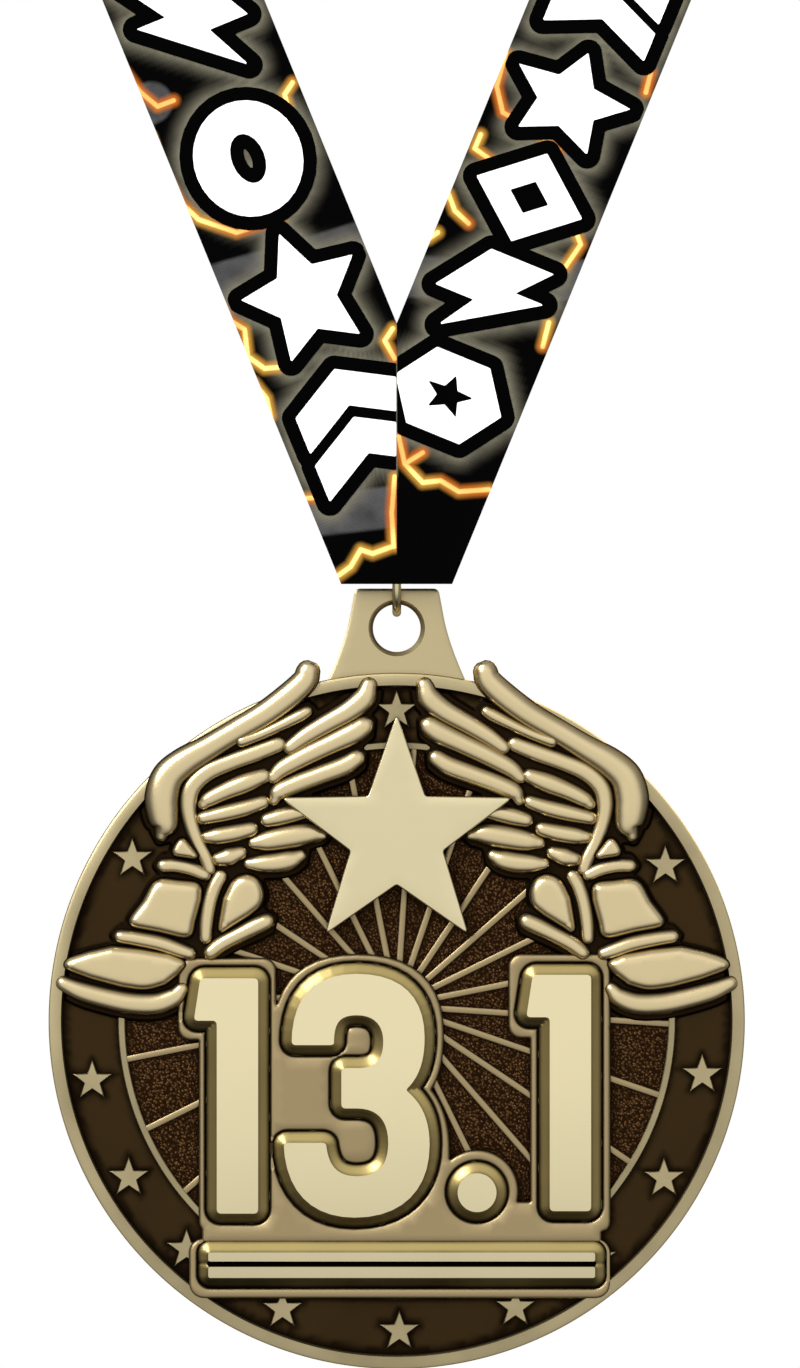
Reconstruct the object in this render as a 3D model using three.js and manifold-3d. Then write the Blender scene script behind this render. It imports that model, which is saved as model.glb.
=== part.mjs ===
// A finisher's medal on a neck ribbon: a die-cast relief disc with a pierced tab, a split jump
// ring, a printed ribbon loop as it lies round a neck, and the sewn tape that carries the ring.
// Millimetres, +Z up, the medal's front towards -Y, the origin at the nape inside the ribbon.
import * as THREE from 'three';
import { mergeVertices } from 'three/addons/utils/BufferGeometryUtils.js';
import Module from 'manifold-3d';

const wasm = await Module();
wasm.setup();

// Driving dimensions. Everything below is laid out about the disc's centre first.
const DISC_RADIUS = 35;
const RIM_WIDTH = 1.35;
const RING_RADIUS = 28.1;
const RING_WIDTH = 0.85;
const DISC_STEPS = 72;

// Heights along Y: the back is positive and the relief rises towards -Y.
const BACK = 1.5;
const FIELD = -0.5;
const RAY_TOP = -1.0;
const SPARK_TOP = -1.1;
const RIM_TOP = -1.5;
const PLATE_TOP = -1.7;
const FEATHER_TOP = -2.2;
const BAR_TOP = -2.3;
const DIGIT_TOP = -2.5;
const STAR_TOP = -2.9;

const TAB_TOP = 43.47;
const TAB_HALF_THICK = 1.1;
const HOLE_Z = 39.5;
const HOLE_RADIUS = 2.4;
const HOLE_CHAMFER = 0.44;

const STAR_Z = 18.66;
const STAR_RADIUS = 12.3;
const STAR_WAIST = 0.4;
const SPARK_TURNS = [90, 110, 130, 148.4, 170, 191.1, 210.3, 227.4, 248.4, 270.5, 292.5, 310, 329.5, 350,
  10, 30, 50, 70];
const SPARK_ORBIT = 31.2;
const SPARK_RADIUS = 2.15;
const FEATHER_SWELL = 0.28;
const RAY_COUNT = 24;
const RAY_TURN = -3.8;
const RAY_WIDTH = 0.7;
const RAY_HUB_Z = 1.5;

const WIRE = 0.9;
const RING_BORE = 5.0;
const RING_GAP = 0.3;
const RING_Z = HOLE_Z + HOLE_RADIUS - 0.37 + RING_BORE / 2;

const RIBBON_WIDTH = 15;
const RIBBON_THICK = 0.6;
const RIBBON_LEAN = THREE.MathUtils.degToRad(22.25);
const RIBBON_FRONT = -4.2;
const RIBBON_FOOT = 43.87;
const TAPE_WIDTH = 6;
const TAPE_THICK = 0.6;
const TAPE_FOOT = 45;
const TAPE_HOLE = { width: 2.5, bottom: 46.2, top: 48.6 };
const TACK = { width: 5, height: 1.2, thick: 0.3, gap: 0.3 };

// Materials.
const gold = new THREE.MeshStandardMaterial({ color: 0xb59a5e, roughness: 0.32, metalness: 1 });
const wireGold = new THREE.MeshStandardMaterial({ color: 0xc9b173, roughness: 0.22, metalness: 1 });
const satin = new THREE.MeshStandardMaterial({ color: 0x15130f, roughness: 0.5, metalness: 0 });
const tape = new THREE.MeshStandardMaterial({ color: 0x1c1b1a, roughness: 0.8, metalness: 0 });
const thread = new THREE.MeshStandardMaterial({ color: 0x2a2826, roughness: 0.7, metalness: 0 });

// A closed geometry as a manifold solid, and back.
function solid(geometry) {
  const bare = geometry.clone();
  bare.deleteAttribute('normal');
  bare.deleteAttribute('uv');
  const merged = mergeVertices(bare, 1e-4);
  const index = merged.index.array;
  const triangles = [];
  for (let i = 0; i < index.length; i += 3) {
    const [a, b, c] = [index[i], index[i + 1], index[i + 2]];
    if (a !== b && b !== c && a !== c) triangles.push(a, b, c);
  }
  return new wasm.Manifold(new wasm.Mesh({
    numProp: 3,
    vertProperties: new Float32Array(merged.attributes.position.array),
    triVerts: new Uint32Array(triangles),
  }));
}

function toGeometry(manifold) {
  const mesh = manifold.getMesh();
  const geometry = new THREE.BufferGeometry();
  geometry.setAttribute('position', new THREE.BufferAttribute(mesh.vertProperties, 3));
  geometry.setIndex(new THREE.BufferAttribute(mesh.triVerts, 1));
  return geometry;
}

// A flat outline in X and Z, made solid between two heights along Y.
function prism(shape, front, back, options = {}) {
  const depth = back - front;
  const settings = { depth, bevelEnabled: false, curveSegments: 4, steps: 1, ...options };
  return new THREE.ExtrudeGeometry(shape, settings).rotateX(Math.PI / 2).translate(0, back, 0);
}

// A solid of revolution about Y from [radius, height] pairs that start and end on the axis.
function turned(profile, steps) {
  return new THREE.LatheGeometry(profile.map(([r, y]) => new THREE.Vector2(r, y)), steps);
}

function polygon(points) {
  return new THREE.Shape(points.map(([x, z]) => new THREE.Vector2(x, z)));
}

function mirrored(points) {
  return points.map(([x, z, half]) => [-x, z, half]).reverse();
}

// An outline moved outwards from its middle by a set reach.
function swollen(points, reach) {
  const x = points.reduce((sum, point) => sum + point[0], 0) / points.length;
  const z = points.reduce((sum, point) => sum + point[1], 0) / points.length;
  return points.map(([px, pz]) => {
    const out = Math.hypot(px - x, pz - z);
    return [px + ((px - x) * reach) / out, pz + ((pz - z) * reach) / out];
  });
}

function starPoints(x, z, radius, waist) {
  const points = [];
  for (let i = 0; i < 10; i += 1) {
    const angle = Math.PI / 2 + (i * Math.PI) / 5;
    const r = i % 2 ? radius * waist : radius;
    points.push([x + r * Math.cos(angle), z + r * Math.sin(angle)]);
  }
  return points;
}

function roundedBox(left, bottom, right, top, r) {
  const shape = new THREE.Shape();
  shape.moveTo(left + r, bottom);
  shape.lineTo(right - r, bottom).quadraticCurveTo(right, bottom, right, bottom + r);
  shape.lineTo(right, top - r).quadraticCurveTo(right, top, right - r, top);
  shape.lineTo(left + r, top).quadraticCurveTo(left, top, left, top - r);
  shape.lineTo(left, bottom + r).quadraticCurveTo(left, bottom, left + r, bottom);
  return shape;
}

// A feather or band: a smooth line through [x, z, half width of its crown] with round ends.
function stroke(points) {
  const line = new THREE.CatmullRomCurve3(
    points.map(([x, z, half]) => new THREE.Vector3(x, z, half + FEATHER_SWELL)));
  const count = (points.length - 1) * 2;
  const left = [];
  const right = [];
  for (let i = 0; i <= count; i += 1) {
    const at = line.getPoint(i / count);
    const along = line.getTangent(i / count).setZ(0).normalize();
    left.push([at.x - along.y * at.z, at.y + along.x * at.z]);
    right.push([at.x + along.y * at.z, at.y - along.x * at.z]);
  }
  const tip = (end, sign) => {
    const at = line.getPoint(end);
    const along = line.getTangent(end).setZ(0).normalize().multiplyScalar(sign * at.z * 0.8);
    return [at.x + along.x, at.y + along.y];
  };
  return [tip(0, -1), ...right, tip(1, 1), ...left.reverse()];
}

// The winged shoe on the medal's left, as feathers and bands [x, z, half width] and as panels.
const FEATHERS = {
  arm: [[-8.9, 35.1, 0.85], [-9.3, 34.1, 0.95], [-10.9, 32.6, 1.0], [-13.2, 30.9, 0.95],
    [-15.9, 29.3, 0.9], [-18.9, 27.5, 0.95], [-21.4, 26.0, 1.15], [-23.0, 24.5, 1.3],
    [-23.6, 22.5, 1.4], [-23.5, 20.8, 1.3], [-23.3, 19.6, 1.0], [-23.6, 18.7, 0.4]],
  branch: [[-15.6, 28.1, 0.3], [-13.9, 28.7, 0.2], [-11.9, 29.6, 0.24], [-9.9, 30.6, 0.32],
    [-9.0, 31.1, 0.24]],
  band: [[-11.9, 27.8, 0.5], [-14.2, 26.9, 0.6], [-16.7, 26.0, 0.6], [-19.0, 25.0, 0.65],
    [-20.5, 23.6, 0.65], [-20.95, 21.9, 0.6], [-20.7, 20.0, 0.48], [-20.0, 18.0, 0.42],
    [-19.2, 16.4, 0.4], [-18.8, 15.3, 0.35]],
  primary1: [[-2.8, 33.7, 0.55], [-3.3, 32.4, 0.85], [-4.9, 31.1, 0.8], [-7.2, 29.8, 0.7],
    [-9.2, 28.6, 0.62], [-10.7, 27.5, 0.45]],
  primary2: [[-3.3, 29.6, 0.75], [-4.4, 28.9, 0.85], [-6.7, 27.8, 0.75], [-9.2, 26.6, 0.7],
    [-11.4, 25.4, 0.6], [-12.4, 24.5, 0.4]],
  primary3: [[-4.0, 26.4, 0.6], [-5.3, 25.6, 0.72], [-7.7, 24.7, 0.7], [-10.1, 23.8, 0.68],
    [-11.8, 23.0, 0.62], [-12.3, 22.2, 0.3]],
  primary4: [[-8.6, 21.3, 0.5], [-10.1, 20.9, 0.55], [-11.8, 20.5, 0.58], [-13.0, 20.2, 0.45]],
  primary5: [[-7.5, 18.7, 0.3], [-8.8, 18.8, 0.75], [-10.8, 18.5, 0.88], [-13.0, 18.1, 0.75],
    [-14.3, 17.9, 0.35]],
  primary6: [[-9.7, 16.6, 0.35], [-10.6, 16.2, 0.68], [-12.0, 15.9, 0.75], [-13.6, 15.8, 0.62],
    [-14.8, 15.8, 0.3]],
  secondary1: [[-13.4, 24.6, 0.5], [-15.2, 23.9, 0.72], [-17.2, 23.1, 0.62], [-18.8, 22.3, 0.5],
    [-19.4, 21.8, 0.3]],
  secondary2: [[-13.4, 22.0, 0.4], [-15.2, 21.4, 0.55], [-17.2, 20.9, 0.55], [-19.4, 20.4, 0.4]],
  secondary3: [[-14.6, 19.3, 0.45], [-16.2, 18.9, 0.6], [-18.0, 18.6, 0.58], [-19.0, 18.5, 0.35]],
  secondary4: [[-15.7, 16.9, 0.4], [-16.8, 16.5, 0.65], [-17.8, 16.3, 0.45]],
  ankle: [[-23.4, 15.6, 0.4], [-22.2, 15.6, 0.42], [-20.7, 15.3, 0.42], [-19.3, 14.7, 0.35]],
  strap: [[-17.7, 14.5, 0.42], [-18.3, 13.4, 0.45], [-18.8, 11.8, 0.46], [-19.1, 10.0, 0.45],
    [-19.2, 8.4, 0.38]],
  arch: [[-13.1, 10.0, 0.55], [-14.2, 9.5, 0.6], [-15.8, 8.7, 0.52], [-17.5, 7.8, 0.5],
    [-18.7, 6.9, 0.42]],
  collar: [[-27.7, 8.5, 0.4], [-26.2, 8.3, 0.46], [-23.7, 7.8, 0.5], [-21.7, 7.1, 0.46],
    [-20.8, 6.8, 0.36]],
  sole: [[-33.5, 3.8, 0.42], [-31.7, 3.0, 0.68], [-29.2, 2.3, 0.76], [-26.7, 1.8, 0.8],
    [-24.2, 1.75, 0.8], [-22.4, 2.4, 0.66], [-21.6, 3.2, 0.4]],
};

const PANELS = {
  tongue: [[-22.6, 16.8], [-21.9, 18.1], [-21.4, 18.3], [-20.7, 17.4], [-19.9, 16.4], [-21.2, 16.6]],
  quarter: [[-27.2, 9.7], [-23.9, 9.1], [-20.7, 8.3], [-20.4, 10.0], [-19.8, 12.2], [-19.7, 13.8], [-21.9, 14.0],
    [-24.2, 14.3], [-25.4, 12.0]],
  heel: [[-17.9, 8.8], [-16.7, 9.6], [-14.9, 10.7], [-13.6, 11.7], [-13.4, 12.9], [-13.9, 14.2],
    [-15.1, 14.7], [-16.4, 14.2], [-17.3, 12.3]],
  vamp: [[-33.4, 5.4], [-30.7, 4.4], [-27.7, 3.6], [-25.2, 3.2], [-23.3, 3.8], [-21.9, 4.9],
    [-21.1, 5.9], [-22.8, 6.6], [-25.7, 7.1], [-28.6, 7.4], [-30.8, 6.9], [-33.0, 6.2]],
};

// The digits' flat faces.
function digitOne(stemLeft, stemRight, flagLeft, top, bottom) {
  const flagBottom = top - 4.25;
  return polygon([[stemLeft, bottom], [stemRight, bottom], [stemRight, top],
    [flagLeft + 0.65, top], [flagLeft, flagBottom], [stemLeft, flagBottom]]);
}

function digitThree() {
  const shape = new THREE.Shape();
  shape.moveTo(-10.55, -2.35);
  shape.lineTo(-6.3, -2.35);
  shape.bezierCurveTo(-6.3, -0.4, -6.0, 0.65, -4.0, 0.65);
  shape.bezierCurveTo(-2.1, 0.65, -1.35, -0.5, -1.35, -2.0);
  shape.bezierCurveTo(-1.35, -3.8, -2.1, -4.65, -3.8, -4.65);
  shape.lineTo(-5.55, -4.65);
  shape.lineTo(-5.55, -8.7);
  shape.lineTo(-4.0, -8.7);
  shape.bezierCurveTo(-1.9, -8.7, -0.85, -9.9, -0.85, -12.2);
  shape.bezierCurveTo(-0.85, -14.4, -1.9, -15.5, -4.0, -15.5);
  shape.bezierCurveTo(-6.2, -15.5, -6.9, -14.2, -7.1, -12.15);
  shape.lineTo(-11.35, -12.15);
  shape.bezierCurveTo(-11.2, -17.0, -8.6, -19.65, -4.2, -19.65);
  shape.bezierCurveTo(0.6, -19.65, 3.3, -16.8, 3.3, -12.4);
  shape.bezierCurveTo(3.3, -9.9, 2.6, -8.2, 0.9, -6.85);
  shape.bezierCurveTo(2.3, -5.6, 2.8, -3.8, 2.8, -1.6);
  shape.bezierCurveTo(2.8, 2.4, 0.6, 4.8, -4.0, 4.8);
  shape.bezierCurveTo(-8.5, 4.8, -10.55, 2.3, -10.55, -2.35);
  return shape;
}

function disc(x, z, radius) {
  const shape = new THREE.Shape();
  shape.absellipse(x, z, radius, radius, 0, Math.PI * 2);
  return shape;
}

const DIGITS = [
  digitOne(-18.05, -13.9, -20.35, 4.35, -19.25),
  digitThree(),
  disc(8.06, -17.15, 1.95),
  digitOne(15.35, 19.5, 13.0, 4.7, -19.0),
];

// The plate behind the digits: one rounded outline round each, joined at the foot.
function plateThree() {
  const shape = new THREE.Shape();
  shape.moveTo(-12.5, -1.0);
  shape.bezierCurveTo(-12.2, 4.3, -9.2, 6.75, -3.9, 6.75);
  shape.bezierCurveTo(1.8, 6.75, 4.75, 3.9, 4.75, -1.2);
  shape.bezierCurveTo(4.75, -3.8, 4.4, -5.6, 3.5, -6.9);
  shape.bezierCurveTo(4.7, -8.4, 5.35, -10.4, 5.35, -13.0);
  shape.lineTo(5.35, -21.5);
  shape.lineTo(-12.5, -21.5);
  return shape;
}

const PLATES = [
  roundedBox(-22.0, -1.95, -12.1, 6.35, 1.3),
  roundedBox(-19.9, -21.2, -12.1, 0, 1.0),
  plateThree(),
  polygon([[-14, -21.4], [-14, 1.4], [-11.6, 1.4], [-11, -21.4]]),
  disc(8.06, -17.15, 4.2),
  roundedBox(11.2, -1.75, 21.5, 6.75, 1.3),
  roundedBox(13.4, -21.2, 21.5, 0, 1.0),
  roundedBox(3, -22.3, 20.6, -18.15, 0.3),
  roundedBox(-19.6, -22.3, 5, -19.5, 0.3),
];

function reliefDisc() {
  const rimIn = DISC_RADIUS - RIM_WIDTH;
  const ringIn = RING_RADIUS - RING_WIDTH;
  return turned([
    [0, BACK], [DISC_RADIUS - 0.4, BACK], [DISC_RADIUS, BACK - 0.4], [DISC_RADIUS, RIM_TOP + 0.25],
    [DISC_RADIUS - 0.25, RIM_TOP], [rimIn, RIM_TOP], [rimIn - 0.2, FIELD], [RING_RADIUS, FIELD],
    [RING_RADIUS - 0.1, RAY_TOP], [ringIn + 0.1, RAY_TOP], [ringIn, FIELD], [0, FIELD],
  ].reverse(), DISC_STEPS);
}

function rays() {
  const parts = [];
  for (let i = 0; i < RAY_COUNT; i += 1) {
    const turn = THREE.MathUtils.degToRad(RAY_TURN + (i * 360) / RAY_COUNT);
    const along = new THREE.Vector2(Math.cos(turn), Math.sin(turn));
    const hub = along.y * RAY_HUB_Z;
    const reach = -hub + Math.sqrt(hub * hub - RAY_HUB_Z ** 2 + (RING_RADIUS - 0.3) ** 2);
    const side = new THREE.Vector2(-along.y, along.x).multiplyScalar(RAY_WIDTH / 2);
    const corners = [[2, -1], [reach, -1], [reach, 1], [2, 1]].map(([out, across]) => [
      along.x * out + side.x * across, RAY_HUB_Z + along.y * out + side.y * across]);
    parts.push(prism(polygon(corners), RAY_TOP, FIELD + 0.4));
  }
  return parts;
}

function sparks() {
  const parts = [];
  for (const degrees of SPARK_TURNS) {
    const turn = THREE.MathUtils.degToRad(degrees);
    const [x, z] = [SPARK_ORBIT * Math.cos(turn), SPARK_ORBIT * Math.sin(turn)];
    parts.push(prism(polygon(starPoints(x, z, SPARK_RADIUS, STAR_WAIST)), SPARK_TOP, FIELD + 0.4));
  }
  return parts;
}

function wings() {
  const parts = [];
  for (const line of Object.values(FEATHERS)) {
    parts.push(prism(polygon(stroke(line)), FEATHER_TOP, FIELD + 0.4));
    parts.push(prism(polygon(stroke(mirrored(line))), FEATHER_TOP, FIELD + 0.4));
  }
  for (const outline of Object.values(PANELS)) {
    const puffed = swollen(outline, FEATHER_SWELL);
    parts.push(prism(polygon(puffed), FEATHER_TOP, FIELD + 0.4));
    parts.push(prism(polygon(mirrored(puffed)), FEATHER_TOP, FIELD + 0.4));
  }
  return parts;
}

function digits() {
  const slope = { bevelEnabled: true, bevelSize: 1.05, bevelThickness: 0.7, bevelSegments: 1 };
  const parts = DIGITS.map((shape) => prism(shape, DIGIT_TOP + 0.7, FIELD, slope));
  return [...parts, ...PLATES.map((shape) => prism(shape, PLATE_TOP, FIELD + 0.4))];
}

function bars() {
  return [
    prism(roundedBox(-20.9, -27.9, 21.5, -21.8, 1.5), PLATE_TOP, FIELD + 0.4),
    prism(roundedBox(-18.9, -24.05, 19.9, -23.15, 0.2), BAR_TOP, PLATE_TOP + 0.4),
    prism(roundedBox(-18.9, -25.7, 19.9, -24.6, 0.2), BAR_TOP, PLATE_TOP + 0.4),
  ];
}

function tab() {
  const shape = new THREE.Shape();
  shape.moveTo(-7.2, 33.6);
  shape.bezierCurveTo(-5.9, 36.4, -5.0, 38.8, -4.6, 41.3);
  shape.lineTo(-4.3, 42.9);
  shape.quadraticCurveTo(-4.2, TAB_TOP, -3.6, TAB_TOP);
  shape.lineTo(3.6, TAB_TOP);
  shape.quadraticCurveTo(4.2, TAB_TOP, 4.3, 42.9);
  shape.lineTo(4.6, 41.3);
  shape.bezierCurveTo(5.0, 38.8, 5.9, 36.4, 7.2, 33.6);
  return prism(shape, -TAB_HALF_THICK, TAB_HALF_THICK);
}

function tabHole() {
  const past = 0.4;
  const face = TAB_HALF_THICK + past;
  const mouth = HOLE_RADIUS + HOLE_CHAMFER + past;
  const throat = TAB_HALF_THICK - HOLE_CHAMFER;
  return turned([[0, -face], [mouth, -face], [HOLE_RADIUS, -throat], [HOLE_RADIUS, throat],
    [mouth, face], [0, face]], 32).translate(0, 0, HOLE_Z);
}

function medalCasting() {
  const star = prism(polygon(starPoints(0, STAR_Z, STAR_RADIUS, STAR_WAIST)), STAR_TOP, FIELD + 0.4);
  const pieces = [tab(), star, ...rays(), ...sparks(), ...wings(), ...digits(), ...bars()];
  let body = solid(reliefDisc());
  for (const piece of pieces) body = body.add(solid(piece));
  return toGeometry(body.subtract(solid(tabHole())));
}

// The jump ring: an open circle of wire in the YZ plane, its split at the back.
class RingPath extends THREE.Curve {
  getPoint(t, target = new THREE.Vector3()) {
    const radius = (RING_BORE + WIRE) / 2;
    const gap = RING_GAP / radius / 2;
    const turn = gap + t * (2 * Math.PI - 2 * gap);
    return target.set(0, radius * Math.cos(turn), RING_Z + radius * Math.sin(turn));
  }
}

function jumpRing() {
  const section = new THREE.Shape();
  section.absarc(0, 0, WIRE / 2, 0, Math.PI * 2);
  return new THREE.ExtrudeGeometry(section, {
    extrudePath: new RingPath(), steps: 48, curveSegments: 5, bevelEnabled: false,
  });
}

// The ribbon's route on the wearer's left, from the mitre to the nape, with the way it faces.
const ROUTE = [
  [[0, 0, 0], [0, -1, 0]],
  [[28.4, RIBBON_FRONT, 119.5], [0, -1, 0]],
  [[42.5, -1.5, 154], [0.08, -0.98, 0.16]],
  [[56, 7.5, 189], [0.25, -0.85, 0.45]],
  [[68.5, 26, 221], [0.45, -0.6, 0.66]],
  [[77, 54, 244], [0.62, -0.3, 0.73]],
  [[79.5, 86, 258], [0.74, 0.05, 0.67]],
  [[71, 116, 268], [0.62, 0.45, 0.64]],
  [[50, 139, 273], [0.4, 0.72, 0.57]],
  [[25, 152, 275], [0.18, 0.84, 0.5]],
  [[0, 155.5, 275.5], [0, 0.87, 0.5]],
];
const STRAIGHT = 75.5;
const ROUTE_STEPS = 30;

// Both edges of one half of the ribbon: the mitre, the slanting foot, then square stations.
function ribbonHalf() {
  const half = RIBBON_WIDTH / 2;
  const along = new THREE.Vector3(Math.sin(RIBBON_LEAN), 0, Math.cos(RIBBON_LEAN));
  const across = new THREE.Vector3(along.z, 0, -along.x);
  const footX = half / Math.cos(RIBBON_LEAN);
  const start = new THREE.Vector3(0, RIBBON_FRONT, 50.11);
  const apex = new THREE.Vector3(0, RIBBON_FRONT, start.z + half / Math.sin(RIBBON_LEAN));
  const corner = (RIBBON_FOOT - start.z) * Math.tan(RIBBON_LEAN) + footX;
  const ahead = new THREE.Vector3(0, -1, 0);
  const square = (centre, normal, side) => ({
    inner: centre.clone().addScaledVector(side, -half),
    outer: centre.clone().addScaledVector(side, half),
    normal,
  });
  const stations = [
    { inner: apex, outer: new THREE.Vector3(0, RIBBON_FRONT, RIBBON_FOOT), normal: ahead },
    { inner: apex.clone().addScaledVector(along, 0.4),
      outer: new THREE.Vector3(corner, RIBBON_FRONT, RIBBON_FOOT), normal: ahead },
  ];
  for (const reach of [20, 38, 57]) {
    stations.push(square(start.clone().addScaledVector(along, reach), ahead, across));
  }
  const bend = ROUTE.slice(1);
  const lead = start.clone().addScaledVector(along, STRAIGHT - 18);
  const past = new THREE.Vector3(-25, 152, 275);
  const places = [lead, ...bend.map(([at]) => new THREE.Vector3(...at)), past];
  const faces = [ahead, ...bend.map(([, facing]) => new THREE.Vector3(...facing)),
    new THREE.Vector3(-0.18, 0.84, 0.5)];
  const line = new THREE.CatmullRomCurve3(places, false, 'centripetal');
  const facing = new THREE.CatmullRomCurve3(faces, false, 'catmullrom');
  const [first, last] = [1 / (places.length - 1), (places.length - 2) / (places.length - 1)];
  for (let i = 0; i <= ROUTE_STEPS; i += 1) {
    const t = first + ((last - first) * i) / ROUTE_STEPS;
    const centre = line.getPoint(t);
    const tangent = line.getTangent(t);
    const side = tangent.clone().cross(facing.getPoint(t)).normalize();
    const normal = side.clone().cross(tangent).normalize();
    if (i === ROUTE_STEPS) {
      centre.x = 0;
      side.set(0, side.y, side.z).normalize();
      normal.set(0, normal.y, normal.z).normalize();
    }
    stations.push(square(centre, normal, side));
  }
  return stations;
}

function flip(vector) {
  return new THREE.Vector3(-vector.x, vector.y, vector.z);
}

function neckRibbon() {
  const right = ribbonHalf();
  const left = right.slice(1, -1).reverse()
    .map(({ inner, outer, normal }) => ({ inner: flip(inner), outer: flip(outer), normal: flip(normal) }));
  const loop = [...right, ...left];
  const vertices = [];
  for (const { inner, outer, normal } of loop) {
    const lift = normal.clone().multiplyScalar(RIBBON_THICK / 2);
    for (const corner of [inner.clone().add(lift), outer.clone().add(lift),
      outer.clone().sub(lift), inner.clone().sub(lift)]) vertices.push(...corner.toArray());
  }
  const index = [];
  for (let i = 0; i < loop.length; i += 1) {
    const next = (i + 1) % loop.length;
    for (let k = 0; k < 4; k += 1) {
      const [a, b] = [i * 4 + k, i * 4 + ((k + 1) % 4)];
      const [c, d] = [next * 4 + ((k + 1) % 4), next * 4 + k];
      index.push(a, b, c, a, c, d);
    }
  }
  const geometry = new THREE.BufferGeometry();
  geometry.setAttribute('position', new THREE.Float32BufferAttribute(vertices, 3));
  geometry.setIndex(index);
  return geometry;
}

// The tape: up through the ring at the middle, then forward to lie behind the ribbon's mitre.
const TAPE_Y = RIBBON_FRONT + (RIBBON_THICK + TAPE_THICK) / 2 + 0.35;

function ringTape() {
  const middle = new THREE.SplineCurve([[0, 49.5], [-0.5, 51], [-1.6, 53], [TAPE_Y + 0.5, 55],
    [TAPE_Y, 57]].map(([y, z]) => new THREE.Vector2(y, z)));
  const points = [new THREE.Vector2(0, TAPE_FOOT), ...middle.getPoints(8),
    new THREE.Vector2(TAPE_Y, 67)];
  const front = [];
  const back = [];
  points.forEach((point, i) => {
    const before = points[Math.max(i - 1, 0)];
    const after = points[Math.min(i + 1, points.length - 1)];
    const along = after.clone().sub(before).normalize().multiplyScalar(TAPE_THICK / 2);
    front.push(new THREE.Vector2(point.x - along.y, point.y + along.x));
    back.push(new THREE.Vector2(point.x + along.y, point.y - along.x));
  });
  const shape = new THREE.Shape([...back, ...front.reverse()]);
  const strip = new THREE.ExtrudeGeometry(shape, { depth: TAPE_WIDTH, bevelEnabled: false });
  strip.applyMatrix4(new THREE.Matrix4().makeBasis(new THREE.Vector3(0, 1, 0),
    new THREE.Vector3(0, 0, 1), new THREE.Vector3(1, 0, 0))).translate(-TAPE_WIDTH / 2, 0, 0);
  const height = TAPE_HOLE.top - TAPE_HOLE.bottom;
  const hole = new THREE.BoxGeometry(TAPE_HOLE.width, TAPE_THICK * 3, height)
    .translate(0, 0, TAPE_HOLE.bottom + height / 2);
  return toGeometry(solid(strip).subtract(solid(hole)));
}

function bartack(z) {
  const back = TAPE_Y + TAPE_THICK / 2 + TACK.gap;
  const [w, h] = [TACK.width / 2, TACK.height / 2];
  return prism(roundedBox(-w, z - h, w, z + h, 0.3), back, back + TACK.thick);
}

// The assembly, moved so that the origin is at the nape, on the ribbon's inner face.
const stations = ribbonHalf();
const nape = stations[stations.length - 1];
const origin = nape.inner.clone().add(nape.outer).divideScalar(2)
  .addScaledVector(nape.normal, -RIBBON_THICK / 2);

const medal = new THREE.Group();
medal.position.copy(origin).negate();

function piece(name, geometry, material) {
  const mesh = new THREE.Mesh(geometry, material);
  mesh.name = name;
  medal.add(mesh);
}

piece('medal_casting', medalCasting(), gold);
piece('jump_ring', jumpRing(), wireGold);
piece('neck_ribbon', neckRibbon(), satin);
piece('ring_tape', ringTape(), tape);
piece('bartack_lower', bartack(58.5), thread);
piece('bartack_upper', bartack(65), thread);

export default medal;
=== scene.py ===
"""A finisher's medal on its neck ribbon: an antique gold relief casting, a jump ring, a printed
satin ribbon and the sewn tape that carries the ring. Work is in millimetres about the disc's
centre, x to the right, y to the back and z up, and each mesh is put in place in metres."""
import math

import bmesh
import bpy
import numpy as np
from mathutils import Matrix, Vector, geometry


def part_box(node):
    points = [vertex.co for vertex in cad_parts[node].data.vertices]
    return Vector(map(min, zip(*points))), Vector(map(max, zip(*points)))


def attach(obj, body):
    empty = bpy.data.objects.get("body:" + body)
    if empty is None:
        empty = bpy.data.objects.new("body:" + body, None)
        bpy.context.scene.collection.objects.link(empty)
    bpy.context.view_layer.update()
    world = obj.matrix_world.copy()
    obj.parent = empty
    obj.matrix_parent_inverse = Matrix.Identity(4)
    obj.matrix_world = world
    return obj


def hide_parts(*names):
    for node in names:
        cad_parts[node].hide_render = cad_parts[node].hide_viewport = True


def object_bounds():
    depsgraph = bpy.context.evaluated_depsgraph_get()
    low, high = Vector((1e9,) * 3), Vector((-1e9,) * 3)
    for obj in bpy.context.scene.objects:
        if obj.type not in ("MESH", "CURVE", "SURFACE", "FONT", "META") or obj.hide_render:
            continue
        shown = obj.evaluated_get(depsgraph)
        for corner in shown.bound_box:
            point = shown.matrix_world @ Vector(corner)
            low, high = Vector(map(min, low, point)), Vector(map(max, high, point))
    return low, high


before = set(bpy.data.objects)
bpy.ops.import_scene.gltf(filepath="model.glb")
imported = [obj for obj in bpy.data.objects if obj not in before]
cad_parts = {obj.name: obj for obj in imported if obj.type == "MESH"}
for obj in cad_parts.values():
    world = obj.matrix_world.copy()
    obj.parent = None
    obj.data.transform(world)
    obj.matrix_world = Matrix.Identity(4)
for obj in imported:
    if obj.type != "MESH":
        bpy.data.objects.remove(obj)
cad_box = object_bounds()

MM = 0.001
TAU = 2 * math.pi

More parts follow.
